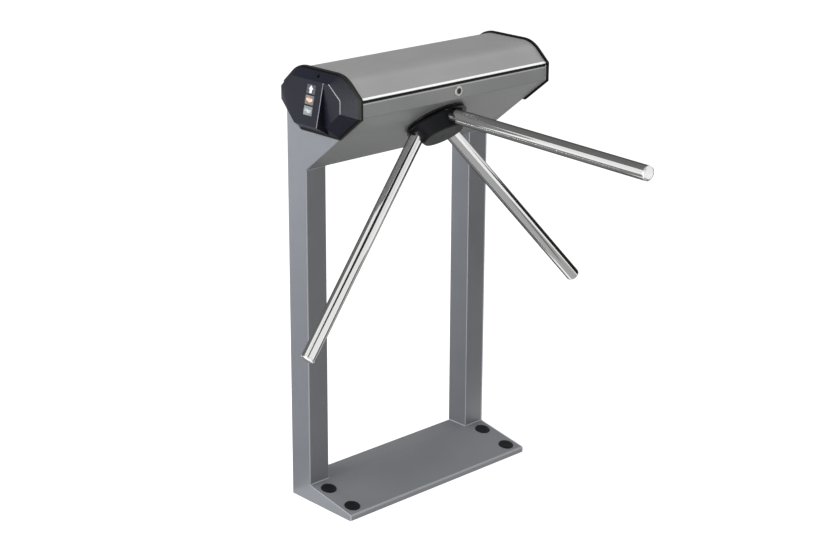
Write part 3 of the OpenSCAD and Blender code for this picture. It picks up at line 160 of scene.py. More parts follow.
lamp("top_lamp", place=(-0.3, 0.2, 3.6), aim=(0, 0, 0.85), size=(2.6, 2.2),
     watts=66, color=(1, 0.99, 0.97))
lamp("left_lamp", place=(-1.4, 0.45, 0.9), aim=(-0.27, 0, 0.6), size=(0.8, 1.8),
     watts=18, color=(0.85, 0.9, 1))
glint_lamp = lamp("glint_lamp", place=(-2.2, -0.1, 0.9), aim=(-0.27, -0.05, 0.8), size=(0.45, 2.0),
                  watts=24, color=(1, 1, 1))
glint_lamp.visible_diffuse = False
glint_lamp.visible_glossy = True

# Centre, size, turn in degrees and brightness of each card and mat.
cards = {
    "card_back": ((0.53, 2.76, 2.53), (7.2, 4.8), (58, 0, 170), 0.17),
    "card_ceiling": ((-1.28, -2.02, 3.22), (2.0, 1.2), (40, 0, -36), 0.02),
    "card_right": ((1.625, -0.45, 0.425), (1.42, 0.85), (90, 0, 80), 0.02),
    "card_low": ((0.58, -0.975, 0.21), (1.05, 0.42), (90, 0, -65), 0.1),
    "mat_back": ((-0.75, 0.92, 0.001), (2.9, 1.56), (0, 0, 0), 0.25),
    "mat_right": ((1.4, 0.62, 0.001), (1.3, 0.9), (0, 0, 0), 0.45),
    "mat_front": ((0.6, -0.95, 0.001), (2.0, 1.7), (0, 0, 0), 0.45),
}
for name, (centre, size, turn, tone) in cards.items():
    card, tree, card_out = stage_plane(name, centre, size, tuple(math.radians(angle) for angle in turn))
    card_glow = tree.nodes.new("ShaderNodeEmission")
    card_glow.inputs["Color"].default_value = (tone, tone, tone, 1)
    wire(tree, card_glow, 0, card_out, "Surface")
    card.visible_camera = card.visible_diffuse = card.visible_shadow = card.visible_transmission = False

# ---------------------------------------------------------------------------------------------
# Base. A thick floor plate under a folded cover that slopes down to a low front lip. Both are
# steel, welded between the side plates and powder coated in a metallic grey. A painted highlight,
# a lighter grey band, runs along the front fold.
grey_coat = (0.245, 0.252, 0.263)
highlight_grey = (0.42, 0.43, 0.445)
# A painted highlight: a band of lighter grey along the cover's front fold.
front_fold_highlight = ((0.009, grey_coat, 0), (0.0096, highlight_grey, 1), (0.0132, highlight_grey, 1), (0.0136, grey_coat, 0))


def fresh_material(name, color, metallic, roughness):
    """A material whose shader holds the constant values, with the object's own coordinates."""
    material = bpy.data.materials.new(name)
    material.use_nodes = True
    tree = material.node_tree
    shader = tree.nodes["Principled BSDF"]
    shader.inputs["Base Color"].default_value = (*color, 1)
    shader.inputs["Metallic"].default_value = metallic
    shader.inputs["Roughness"].default_value = roughness
    place = tree.nodes.new("ShaderNodeTexCoord")
    return material, tree, shader, place


def grain(tree, place, scale, detail, stretch=(1, 1, 1), turn=(0, 0, 0), kind="POINT"):
    """Noise over the object's own coordinates, stretched and turned where a finish has a direction."""
    mapping = tree.nodes.new("ShaderNodeMapping")
    mapping.vector_type = kind
    mapping.inputs["Scale"].default_value = stretch
    mapping.inputs["Rotation"].default_value = turn
    noise = tree.nodes.new("ShaderNodeTexNoise")
    noise.inputs["Scale"].default_value = scale
    noise.inputs["Detail"].default_value = detail
    wire(tree, place, "Object", mapping, "Vector")
    wire(tree, mapping, "Vector", noise, "Vector")
    return noise


def vary_roughness(tree, shader, noise, low, high):
    """Roughness between two values, over the middle of the noise's range."""
    spread = tree.nodes.new("ShaderNodeMapRange")
    spread.inputs["From Min"].default_value = 0.3
    spread.inputs["From Max"].default_value = 0.7
    spread.inputs["To Min"].default_value = low
    spread.inputs["To Max"].default_value = high
    wire(tree, noise, "Fac", spread, "Value")
    wire(tree, spread, "Result", shader, "Roughness")


def vary_color(tree, shader, noise, dark, light, low=0.35, high=0.65):
    """Colour between two tones, over the part of the noise's range that low and high bound."""
    ramp = tree.nodes.new("ShaderNodeValToRGB")
    for element, position, tone in zip(ramp.color_ramp.elements, (low, high), (dark, light)):
        element.position = position
        element.color = (*tone, 1)
    wire(tree, noise, "Fac", ramp, "Fac")
    wire(tree, ramp, "Color", shader, "Base Color")
    return ramp


def zoned(tree, shader, place, under, stops, axis):
    """Changes the colour along an axis, alike on both sides of zero. A stop is a distance, a colour
    and how much of it shows."""
    near, far = stops[0][0], stops[-1][0]
    split = tree.nodes.new("ShaderNodeSeparateXYZ")
    distance = tree.nodes.new("ShaderNodeMath")
    distance.operation = "ABSOLUTE"
    spread = tree.nodes.new("ShaderNodeMapRange")
    spread.inputs["From Min"].default_value = near
    spread.inputs["From Max"].default_value = far
    zones = tree.nodes.new("ShaderNodeValToRGB")
    for stop in stops[1:-1]:
        zones.color_ramp.elements.new((stop[0] - near) / (far - near))
    for element, (_, color, share) in zip(zones.color_ramp.elements, stops):
        element.color = (*color, share)
    mix = tree.nodes.new("ShaderNodeMix")
    mix.data_type = "RGBA"
    factor, color_a, color_b = mix.inputs[0], mix.inputs[6], mix.inputs[7]
    wire(tree, place, "Object", split, "Vector")
    wire(tree, split, axis, distance, 0)
    wire(tree, distance, 0, spread, "Value")
    wire(tree, spread, "Result", zones, "Fac")
    tree.links.new(zones.outputs["Alpha"], factor)
    tree.links.new(under.outputs["Color"], color_a)
    tree.links.new(zones.outputs["Color"], color_b)
    tree.links.new(mix.outputs[2], shader.inputs["Base Color"])


def relief(tree, shader, noise, height, strength, below=None):
    """Small bumps from a noise, over those of another relief where one is given."""
    bump = tree.nodes.new("ShaderNodeBump")
    bump.inputs["Distance"].default_value = height
    bump.inputs["Strength"].default_value = strength
    wire(tree, noise, "Fac", bump, "Height")
    if below:
        wire(tree, below, "Normal", bump, "Normal")
    wire(tree, bump, "Normal", shader, "Normal")
    return bump


def tint(color, factor):
    return tuple(min(1, c * factor) for c in color)


def powder_coat(name, color, metallic, roughness, stops=None, axis="Z"):
    """Baked powder coat: a faint orange peel, metal flakes and slightly uneven gloss."""
    material, tree, shader, place = fresh_material(name, color, metallic, roughness)
    cloud = grain(tree, place, scale=7, detail=3)
    ramp = vary_color(tree, shader, cloud, tint(color, 0.96), tint(color, 1.04))
    if stops:
        zoned(tree, shader, place, ramp, stops, axis)
    peel = grain(tree, place, scale=420, detail=2)
    vary_roughness(tree, shader, peel, roughness - 0.05, roughness + 0.06)
    flake = grain(tree, place, scale=2600, detail=1)
    flakes = relief(tree, shader, flake, height=0.00004, strength=0.35)
    relief(tree, shader, peel, height=0.00006, strength=0.3, below=flakes)
    return material


coat_metal, coat_roughness = 0.35, 0.42
frame_paint = powder_coat("frame_powder_coat", grey_coat, coat_metal, coat_roughness)
cover_paint = powder_coat("cover_powder_coat", grey_coat, coat_metal, coat_roughness, front_fold_highlight)


def select_only(piece):
    bpy.ops.object.select_all(action="DESELECT")
    piece.select_set(True)
    bpy.context.view_layer.objects.active = piece


def edit_all(piece):
    """Opens a piece in edit mode with all of it selected."""
    select_only(piece)
    bpy.ops.object.mode_set(mode="EDIT")
    bpy.ops.mesh.select_all(action="SELECT")


def linked(name, mesh):
    piece = bpy.data.objects.new(name, mesh)
    bpy.context.scene.collection.objects.link(piece)
    return piece


def modified(piece, kind, **settings):
    """Adds one modifier to the piece and applies it."""
    select_only(piece)
    bpy.ops.object.modifier_add(type=kind)
    modifier = piece.modifiers[-1]
    for key, value in settings.items():
        setattr(modifier, key, value)
    bpy.ops.object.modifier_apply(modifier=modifier.name)


def smooth(piece, angle=35):
    select_only(piece)
    bpy.ops.object.shade_smooth_by_angle(angle=math.radians(angle))


def merged_copy(node, form):
    """A copy of a CAD piece, named for its form, with its loose triangles joined."""
    piece = linked(f"{node}_{form}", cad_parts[node].data.copy())
    piece.data.materials.clear()
    edit_all(piece)
    bpy.ops.mesh.remove_doubles(threshold=0.00002)
    bpy.ops.mesh.dissolve_limited(angle_limit=math.radians(0.6))
    bpy.ops.object.mode_set(mode="OBJECT")
    if piece.data.has_custom_normals:
        bpy.ops.mesh.customdata_custom_splitnormals_clear()
    return piece


def rounded(piece, edge, segments=2, sharp=28, paint=-1):
    """Rounds the sharp edges of a piece, where asked in the piece's second paint."""
    modified(piece, "BEVEL", width=edge, segments=segments, limit_method="ANGLE", material=paint,
             angle_limit=math.radians(sharp), use_clamp_overlap=True, miter_outer="MITER_ARC")
    smooth(piece)
    modified(piece, "WEIGHTED_NORMAL", keep_sharp=True, weight=80)
    return piece


def fitted(piece, material, body, slot, *nodes):
    """Gives a finished piece its material and body, and hides the CAD nodes that it stands for. The slot is
    not used.
    """
    if material not in tuple(piece.data.materials):
        piece.data.materials.clear()
        piece.data.materials.append(material)
    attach(piece, body)
    if nodes:
        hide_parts(*nodes)


def refined(node, form, edge, material, body, slot, segments=2):
    """A CAD piece made again with rounded edges, and fitted in its node's place."""
    fitted(rounded(merged_copy(node, form), edge, segments), material, body, slot, node)


def painted(node, material):
    """A CAD node that keeps its shape and gets its finish."""
    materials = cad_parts[node].data.materials
    materials.clear()
    materials.append(material)


painted("floor_plate", frame_paint)
refined("base_cover", "sheet", 0.0009, cover_paint, "frame", "frame_paint")

# ---------------------------------------------------------------------------------------------
# Plugs over the floor anchors. Round pressed caps of black nylon: a raised rim, a shallow crown
# and a skirt that snaps into the hole. One is turned, and a copy of it lies over each anchor.
anchor_x, anchor_y = 0.244, 0.04
cover_back_y, cover_back_z = 0.072, 0.038
cover_drop, cover_run = 38 - 13, 72 + 68
cover_slope = math.atan2(cover_drop, cover_run)
plug_profile = [
    (0.0, 0.0014), (0.0085, 0.0019), (0.0125, 0.0021), (0.0138, 0.0017), (0.0146, 0.0022),
    (0.0162, 0.0022), (0.0174, 0.0016), (0.018, 0.0004), (0.018, 0.0), (0.0154, 0.0),
    (0.0154, -0.007), (0.0136, -0.007), (0.0136, -0.0004), (0.0, -0.0004),
]


def turned(name, profile, steps=64):
    """A lathe piece: a profile of radius and height, spun round Z and closed."""
    mesh = bpy.data.meshes.new(name)
    mesh.from_pydata([(r, 0, z) for r, z in profile], [(i, i + 1) for i in range(len(profile) - 1)], [])
    piece = linked(name, mesh)
    edit_all(piece)
    bpy.ops.mesh.spin(steps=steps, angle=2 * math.pi, center=(0, 0, 0), axis=(0, 0, 1))
    bpy.ops.mesh.select_all(action="SELECT")
    bpy.ops.mesh.remove_doubles(threshold=0.000005)
    bpy.ops.mesh.normals_make_consistent(inside=False)
    bpy.ops.object.mode_set(mode="OBJECT")
    smooth(piece)
    return piece


def placed(piece, matrix):
    """Moves a piece's mesh to its place and leaves its object at the origin."""
    piece.data.transform(matrix)
    piece.data.update()
    return piece


def moulded_plastic(name, color, roughness, texture, depth, gloss=0.3, stops=None):
    """Injection-moulded plastic with a fine spark-eroded texture."""
    material, tree, shader, place = fresh_material(name, color, 0, roughness)
    shader.inputs["Specular IOR Level"].default_value = gloss
    cloud = grain(tree, place, scale=9, detail=2)
    ramp = vary_color(tree, shader, cloud, tint(color, 0.88), tint(color, 1.12))
    if stops:
        zoned(tree, shader, place, ramp, stops, "X")
    pits = grain(tree, place, texture, detail=3)
    vary_roughness(tree, shader, pits, roughness - 0.06, roughness + 0.08)
    relief(tree, shader, pits, depth, strength=0.4)
    return material


def joined(pieces, name):
    """Joins like pieces into one object."""
    bpy.ops.object.select_all(action="DESELECT")
    for piece in pieces:
        piece.select_set(True)
    bpy.context.view_layer.objects.active = pieces[0]
    bpy.ops.object.join()
    pieces[0].name = name
    return pieces[0]


plug_nylon = moulded_plastic("plug_nylon", (0.006, 0.0065, 0.008), 0.36, 900, 0.00005, gloss=0.16)
plug = turned("base_plugs_set", plug_profile)
plugs = []
for x in (-anchor_x, anchor_x):
    for y in (-anchor_y, anchor_y):
        z = cover_back_z - (cover_back_y - y) * math.tan(cover_slope)
        spot = Matrix.Translation((x, y, z)) @ Matrix.Rotation(cover_slope, 4, "X")
        plugs.append(placed(linked("plug", plug.data.copy()), spot))
bpy.data.objects.remove(plug)
fitted(joined(plugs, "base_plugs_set"), plug_nylon, "frame", "black_plastic", "base_plugs")

# ---------------------------------------------------------------------------------------------
# Side plates and posts. Each side is one laser-cut plate from the floor to the head, with a
# folded channel welded on its inner face as the post. The welds at the post's foot and neck are
# left proud. Cut edges, the channels' corners and the welds carry a painted highlight, a lighter
# grey than the faces.
# Painted highlight: lighter grey on the plates' cut edges, and a lighter coat on the posts' rounded corners
# and the weld beads.
cut_edge_highlight = ((0.2735, tint(highlight_grey, 1.7), 1), (0.2738, grey_coat, 0))
plate_paint = powder_coat("plate_powder_coat", grey_coat, coat_metal, coat_roughness, cut_edge_highlight, "X")
corner_highlight_paint = powder_coat("corner_highlight_coat", tint(highlight_grey, 1.3), coat_metal, 0.36)
for side in ("left", "right"):
    refined(f"side_plate_{side}", "cut", 0.0007, plate_paint, "frame", "frame_paint")
    post = merged_copy(f"post_{side}", "channel")
    post.data.materials.append(frame_paint)
    post.data.materials.append(corner_highlight_paint)
    fitted(rounded(post, 0.0022, segments=3, paint=1), frame_paint, "frame", "frame_paint", f"post_{side}")


def bead(path, radius):
    """A weld bead: a round bar along straight runs, a little uneven, with closed ends."""
    steps, ripple, ripple_step = 8, 0.12, 2.1
    rings = []
    points = [Vector(p) for p in path]
    for i, p in enumerate(points):
        before = (p - points[i - 1]).normalized() if i else (points[1] - p).normalized()
        after = (points[i + 1] - p).normalized() if i + 1 < len(points) else before
        along = (before + after).normalized()
        side_way = along.orthogonal().normalized()
        other = along.cross(side_way)
        size = radius * (1 + ripple * math.sin(i * ripple_step))
        rings.append([p + (side_way * math.cos(a) + other * math.sin(a)) * size
                      for a in (2 * math.pi * k / steps for k in range(steps))])
    verts = [v for ring in rings for v in ring]
    faces = []
    for start in range(0, (len(rings) - 1) * steps, steps):
        for k in range(steps):
            k_next = (k + 1) % steps
            faces.append((start + k, start + k_next, start + steps + k_next, start + steps + k))
    faces += [tuple(range(steps)), tuple((len(rings) - 1) * steps + k for k in range(steps))]
    mesh = bpy.data.meshes.new("bead")
    mesh.from_pydata(verts, [], faces)
    piece = linked("bead", mesh)
    edit_all(piece)
    bpy.ops.mesh.normals_make_consistent(inside=False)
    bpy.ops.object.mode_set(mode="OBJECT")
    smooth(piece, 60)
    return piece


def straight(a, b, count=16):
    """Points at even steps from a to b."""
    return [tuple(a[k] + (b[k] - a[k]) * i / count for k in range(3)) for i in range(count + 1)]


post_inner, post_outer, post_back = 0.217, 0.2708, 0.128
foot_front, foot_z, foot_radius = 0.0721, 0.0383, 0.0013
neck_front, neck_z, neck_radius = 0.0725, 0.7727, 0.0011
for side, sign in (("left", -1), ("right", 1)):
    inner, outer = sign * post_inner, sign * post_outer
    foot = straight((inner, post_back, foot_z), (inner, foot_front, foot_z))
    foot += straight((inner, foot_front, foot_z), (outer, foot_front, foot_z))[1:]
    neck = straight((inner, post_back, neck_z), (inner, neck_front, neck_z))
    beads = joined([bead(foot, foot_radius), bead(neck, neck_radius)], f"weld_beads_{side}")
    fitted(beads, corner_highlight_paint, "frame", "frame_paint")

# ---------------------------------------------------------------------------------------------
# Head shell. One folded sheet: slanted face, band, underside and back, with flanges that the lid
# rests over. It has the same coat as the frame, a shade lighter, with a painted highlight along the
# fold under the lid and painted shade, near black, on the flange there.
head_grey = (0.31, 0.311, 0.307)
gap_shade_black = (0.002, 0.002, 0.002)
band_top = 0.9535
# A painted highlight along the fold under the lid, then painted shade, near black, on the flange above it.
fold_highlight_and_shade = ((band_top - 0.0064, head_grey, 0), (band_top - 0.0058, (0.56, 0.56, 0.55), 1),
             (band_top - 0.0032, (0.6, 0.6, 0.59), 1), (band_top - 0.0028, gap_shade_black, 1))
head_paint = powder_coat("head_powder_coat", head_grey, coat_metal, 0.4, fold_highlight_and_shade)
refined("head_shell", "sheet", 0.0006, head_paint, "frame", "head_paint")

# ---------------------------------------------------------------------------------------------
# Cable grommets. Soft black rubber rings pressed into the cable holes of the floor plate and of
# the head's underside.


def black_rubber(name):
    """Matt rubber with a faint bloom and a fine orange-peel surface."""
    material, tree, shader, place = fresh_material(name, (0.016, 0.016, 0.016), 0, 0.62)
    bloom = grain(tree, place, scale=45, detail=3)
    vary_color(tree, shader, bloom, (0.013, 0.013, 0.013), (0.024, 0.024, 0.025))
    skin = grain(tree, place, scale=1500, detail=2)
    vary_roughness(tree, shader, skin, 0.55, 0.72)
    relief(tree, shader, skin, height=0.00003, strength=0.4)
    return material


rubber = black_rubber("grommet_rubber")
painted("cable_grommets", rubber)

# ---------------------------------------------------------------------------------------------
# Mechanism plate, pillars and screws. The plate is zinc-plated steel, the pillars are turned bar,
# and the socket screws are plated too.


def plated_metal(name, color, roughness, spangle, streak=(1, 1, 1)):
    """Zinc or nickel plating: bright, with a cloudy tone and faint polishing lines."""
    material, tree, shader, place = fresh_material(name, color, 1, roughness)
    cloud = grain(tree, place, spangle, detail=4)
    vary_color(tree, shader, cloud, tint(color, 0.86), tint(color, 1.1))
    lines = grain(tree, place, scale=700, detail=3, stretch=streak)
    vary_roughness(tree, shader, lines, roughness - 0.08, roughness + 0.1)
    relief(tree, shader, lines, height=0.00003, strength=0.3)
    return material


zinc = plated_metal("zinc_plate", (0.56, 0.57, 0.58), 0.33, 60, (1, 0.05, 1))
turned_steel = plated_metal("turned_steel", (0.6, 0.6, 0.61), 0.24, 90, (0.2, 1, 1))
refined("mech_plate", "cut", 0.0005, zinc, "frame", "plated_steel")
refined("mech_pillars", "turned", 0.0007, turned_steel, "frame", "plated_steel")
screw_zinc = plated_metal("screw_zinc", (0.6, 0.6, 0.58), 0.28, 140)
for node in ("mech_screws", "cap_screws"):
    refined(node, "set", 0.0003, screw_zinc, "frame", "plated_steel")

# ---------------------------------------------------------------------------------------------
# Bearing housing. A sand-cast aluminium flange, machined where it meets the plate, that carries
# the two ball bearings of the spindle.


def cast_metal(name, color, roughness, texture, depth):
    """As-cast aluminium: a dull, pitted skin."""
    material, tree, shader, place = fresh_material(name, color, 0.85, roughness)
    cloud = grain(tree, place, scale=22, detail=4)
    vary_color(tree, shader, cloud, tint(color, 0.82), tint(color, 1.12))
    sand = grain(tree, place, texture, detail=4)
    vary_roughness(tree, shader, sand, roughness - 0.05, roughness + 0.12)
    relief(tree, shader, sand, depth, strength=0.5)
    return material


cast_alloy = cast_metal("cast_aluminium", (0.42, 0.43, 0.44), 0.46, 500, 0.0001)
refined("bearing_housing", "cast", 0.001, cast_alloy, "frame", "cast_alloy", segments=3)
ring_steel = plated_metal("ring_steel", (0.62, 0.62, 0.63), 0.15, 40)
for node in ("bearing_outer_rings", "bearing_inner_rings", "ball_sets"):
    painted(node, ring_steel)

# ---------------------------------------------------------------------------------------------
# Spindle stack. The turned spindle carries the driven gear, the lock disc, the slotted position
# disc, their spacers and the nut.
ground_steel = plated_metal("ground_steel", (0.55, 0.55, 0.56), 0.2, 120)
refined("spindle", "turned", 0.0006, ground_steel, "rotor", "bare_steel")
refined("drive_gear", "cut", 0.0003, ground_steel, "rotor", "bare_steel")
for node in ("lock_disc", "spindle_nut", "spindle_spacers"):
    refined(node, "cut", 0.0004, zinc, "rotor", "plated_steel")
disc_black = moulded_plastic("disc_black", (0.022, 0.022, 0.024), 0.38, 1400, 0.00002)
painted("position_disc", disc_black)

# ---------------------------------------------------------------------------------------------
# Gearmotor. A round cast gearbox under the plate with a black motor below it, and a small steel
# pinion above the plate. Four socket screws hold the gearbox's cover.
face_rise, face_run = 146, 183
face_slant = math.atan2(face_rise, face_run)
face_foot_y, face_foot_z = 0.072, 0.773
spindle_along = 0.1445
spindle_y = face_foot_y - spindle_along * math.cos(face_slant)
spindle_z = face_foot_z + spindle_along * math.sin(face_slant)
rotor_place = Matrix.Translation((0, spindle_y, spindle_z)) @ Matrix.Rotation(-face_slant, 4, "X")
motor_black = powder_coat("motor_black", (0.02, 0.021, 0.023), 0.1, 0.4)
refined("gearbox", "cast", 0.0009, cast_alloy, "frame", "cast_alloy", segments=3)
refined("motor", "can", 0.0012, motor_black, "frame", "motor_paint", segments=3)
refined("drive_pinion", "cut", 0.0002, ground_steel, "pinion", "bare_steel")
motor_x, screw_circle, gearbox_foot = 0.09, 0.0235, 0.046
head_radius, head_height = 0.003 * 0.8, 0.003
screw_profile = [
    (0, head_height * 0.5), (head_radius * 0.55, head_height * 0.5), (head_radius * 0.55, head_height),
    (head_radius * 0.9, head_height), (head_radius, head_height * 0.9), (head_radius, 0), (0, 0),
]
screws = []
for k in range(4):
    turn = Matrix.Rotation(math.radians(45 + 90 * k), 4, "Z")
    spot = Matrix.Translation((motor_x, 0, 0)) @ turn @ Matrix.Translation((screw_circle, 0, gearbox_foot))
    spot = rotor_place @ spot @ Matrix.Rotation(math.pi, 4, "X")
    screws.append(placed(turned("screw", screw_profile, 24), spot))
fitted(joined(screws, "gearbox_screws"), screw_zinc, "frame", "plated_steel")

# ---------------------------------------------------------------------------------------------
# Lock. Two laser-cut pawls on shouldered pins, each pulled in by a solenoid in a bent steel frame
# with a taped winding.
pawl_yellow = plated_metal("pawl_zinc_yellow", (0.62, 0.5, 0.27), 0.3, 80)
tape_amber = moulded_plastic("coil_tape", (0.32, 0.11, 0.02), 0.28, 60, 0.00004)
for side in ("left", "right"):
    refined(f"pawl_{side}", "cut", 0.0004, pawl_yellow, f"pawl_{side}", "plated_steel")
    refined(f"plunger_{side}", "turned", 0.0003, turned_steel, f"plunger_{side}", "plated_steel")
    refined(f"solenoid_{side}", "frame", 0.0004, zinc, "frame", "coil_steel")
refined("pawl_pins", "turned", 0.0004, turned_steel, "frame", "plated_steel")
tail_pin_x, coil_y, coil_z = -0.0695576, 0.0676228, 0.107
half_fork, stroke, play, frame_wall = 0.0083, 0.004181, 0.001, 0.003
coil_length, coil_bore, coil_radius, turn_radius, coil_turns = 0.034, 0.0052, 0.0112, 0.01135, 22
coil_middle = tail_pin_x - half_fork - stroke - play - frame_wall - coil_length / 2
pitch = coil_length / coil_turns
coil_profile = [(coil_bore, -coil_length / 2), (coil_radius, -coil_length / 2)]
for k in range(coil_turns):
    z = -coil_length / 2 + pitch * (k + 0.5)
    coil_profile += [(coil_radius, z - pitch * 0.4), (turn_radius, z), (coil_radius, z + pitch * 0.4)]
coil_profile += [(coil_radius, coil_length / 2), (coil_bore, coil_length / 2)]
for side, sign in (("left", 1), ("right", -1)):
    spot = Matrix.Translation((sign * coil_middle, coil_y, coil_z)) @ Matrix.Rotation(math.pi / 2, 4, "Y")
    coil = placed(turned(f"coil_{side}", coil_profile, 40), rotor_place @ spot)
    fitted(coil, tape_amber, "frame", "coil_steel")

# ---------------------------------------------------------------------------------------------
# Position sensor. A slotted optical fork of black plastic on its bracket, over the slotted disc.
painted("position_sensor", disc_black)

# ---------------------------------------------------------------------------------------------
# Control board. Green solder mask on glass fibre, on four brass standoffs, with terminal blocks,
# relays, capacitors and a flat chip with pins. The small boards behind the windows match it.
board_green, track_green = (0.012, 0.085, 0.035), (0.02, 0.15, 0.06)


def solder_mask(name):
    """Board laminate: copper tracks show through the green mask as a lighter, stepped pattern."""
    material, tree, shader, place = fresh_material(name, board_green, 0, 0.28)
    mapping = tree.nodes.new("ShaderNodeMapping")
    mapping.inputs["Rotation"].default_value = (face_slant, 0, 0)
    tracks = tree.nodes.new("ShaderNodeTexBrick")
    tracks.inputs["Scale"].default_value = 90
    tracks.inputs["Mortar Size"].default_value = 0.03
    tracks.inputs["Color1"].default_value = (*board_green, 1)
    tracks.inputs["Color2"].default_value = (*tint(board_green, 1.25), 1)
    tracks.inputs["Mortar"].default_value = (*track_green, 1)
    wire(tree, place, "Object", mapping, "Vector")
    wire(tree, mapping, "Vector", tracks, "Vector")
    wire(tree, tracks, "Color", shader, "Base Color")
    weave = grain(tree, place, scale=1200, detail=1)
    relief(tree, shader, weave, height=0.00002, strength=0.3)
    return material


mask = solder_mask("solder_mask")
painted("circuit_board", mask)
painted("signal_boards", mask)
standoff_brass = plated_metal("standoff_brass", (0.6, 0.43, 0.17), 0.25, 120)
refined("board_standoffs", "hex", 0.0003, standoff_brass, "frame", "standoff_brass")
relay_black = moulded_plastic("relay_black", (0.02, 0.022, 0.026), 0.3, 1100, 0.00002)
refined("board_parts", "moulded", 0.0004, relay_black, "frame", "board_plastic")

# ---------------------------------------------------------------------------------------------
# End caps. Moulded shells of black plastic with a spark-eroded texture, screwed to the side plates.
# The corners round the face and of the raised indicator carry a painted highlight, a light grey.
# The rim carries painted shade, near black.
cap_color = (0.0088, 0.0095, 0.0155)
shade_black = (0.0015, 0.0015, 0.0015)
# Painted shade, near black, on the cap's rim next to the head.
cap_rim_shade = ((0.2801, shade_black, 1), (0.2804, cap_color, 0))
cap_black = moulded_plastic("cap_plastic", cap_color, 0.3, 420, 0.0002, 0.24, cap_rim_shade)
# Painted highlight: a light grey, glossier plastic given to the rounded corners below.
cap_highlight = moulded_plastic("cap_highlight_plastic", (0.3, 0.3, 0.33), 0.25, 420, 0.00002, 0.5)
highlight_corners = (
    ((0.294, -0.066, 0.9242), (0.294, -0.066, 0.9523)),
    ((0.294, -0.066, 0.9523), (0.294, -0.0311, 0.9805)),
    ((0.314, -0.014, 0.888), (0.294, -0.014, 0.9805)),
)


def paint_corner_highlight(piece, corners, width):
    """Rounds the named corners of a piece and gives the rounding its second material."""
    near_enough = 0.001
    select_only(piece)
    bpy.ops.object.mode_set(mode="EDIT")
    bpy.ops.mesh.select_mode(type="EDGE")
    bpy.ops.mesh.select_all(action="DESELECT")
    bpy.ops.object.mode_set(mode="OBJECT")
    for edge in piece.data.edges:
        ends = [piece.data.vertices[index].co for index in edge.vertices]
        a, b = [Vector((abs(end.x), end.y, end.z)) for end in ends]
        for low, high in corners:
            straight_on = (a - Vector(low)).length + (b - Vector(high)).length
            turned_over = (b - Vector(low)).length + (a - Vector(high)).length
            if min(straight_on, turned_over) < near_enough:
                edge.select = True
    bpy.ops.object.mode_set(mode="EDIT")
    bpy.ops.mesh.bevel(offset=width, segments=6, clamp_overlap=True, material=1, miter_outer="ARC")
    bpy.ops.object.mode_set(mode="OBJECT")


for side in ("left", "right"):
    cap = merged_copy(f"end_cap_{side}", "moulded")
    cap.data.materials.append(cap_black)
    cap.data.materials.append(cap_highlight)
    # The rounded corners get the painted highlight plastic.
    paint_corner_highlight(cap, highlight_corners, 0.0011)
    cap = rounded(cap, 0.0016, segments=3, sharp=18)
    fitted(cap, cap_black, "frame", "black_plastic", f"end_cap_{side}")

# ---------------------------------------------------------------------------------------------
# Indicators. Smoked windows in each cap, lit from behind: a white arrow, an orange lozenge and a
# pale bar. The figures are generic and lie a hair over their window. Outlines are in millimetres.
face_x, face_top, face_bottom = 0.294, 0.9805, 0.888
face_lean = math.atan2(0.02, face_top - face_bottom)
window_y, window_heights = 0.021, (0.9625, 0.9405, 0.9185)
window_colors = ((0.075, 0.075, 0.08), (0.17, 0.16, 0.155), (0.2, 0.215, 0.205))
window_low, window_high, figure_high = -0.3, -0.16, -0.06
window = [(-13.4, -9.4), (13.4, -9.4), (13.4, 9.4), (-13.4, 9.4)]
arrow = [(-3.4, -8), (3.4, -8), (3.4, 0.3), (7, 0.3), (0, 8.4), (-7, 0.3), (-3.4, 0.3)]
lozenge = [(-9.6, -0.2), (-7, -2.6), (-3.6, -3), (-1.6, -5), (1.6, -5), (3.6, -3), (7, -2.6), (9.6, -0.2),
           (8.6, 3.8), (3, 3), (0, 5.2), (-3, 3), (-8.6, 3.8)]
bar = [(-10, -2.4), (-4, -1.6), (-1, -4.2), (6, -4.6), (9.4, -1.5), (9.4, 2.2), (2, 2.2), (-3, 3.4),
       (-10, 3.6)]


def glowing(name, color, strength):
    """A printed legend lit from behind, a little uneven like a diffuser."""
    material, tree, shader, place = fresh_material(name, tint(color, 0.8), 0, 0.3)
    shader.inputs["Emission Strength"].default_value = strength
    cloud = grain(tree, place, scale=160, detail=2)
    ramp = vary_color(tree, shader, cloud, tint(color, 0.7), tint(color, 1.0))
    wire(tree, ramp, "Color", shader, "Emission Color")
    return material


def smoked(name, color):
    """A smoked acrylic window with a faint moulding grain."""
    material, tree, shader, place = fresh_material(name, color, 0, 0.22)
    cloud = grain(tree, place, scale=60, detail=2)
    vary_color(tree, shader, cloud, tint(color, 0.85), tint(color, 1.15))
    fine = grain(tree, place, scale=800, detail=2)
    vary_roughness(tree, shader, fine, 0.18, 0.32)
    return material


def prism(name, outline, low, high):
    """A flat piece: an outline in millimetres between two heights."""
    n = len(outline)
    verts = [(x / 1000, y / 1000, z / 1000) for z in (low, high) for x, y in outline]
    faces = [tuple(reversed(range(n))), tuple(range(n, 2 * n))]
    faces += [(i, (i + 1) % n, n + (i + 1) % n, n + i) for i in range(n)]
    mesh = bpy.data.meshes.new(name)
    mesh.from_pydata(verts, [], faces)
    return linked(name, mesh)


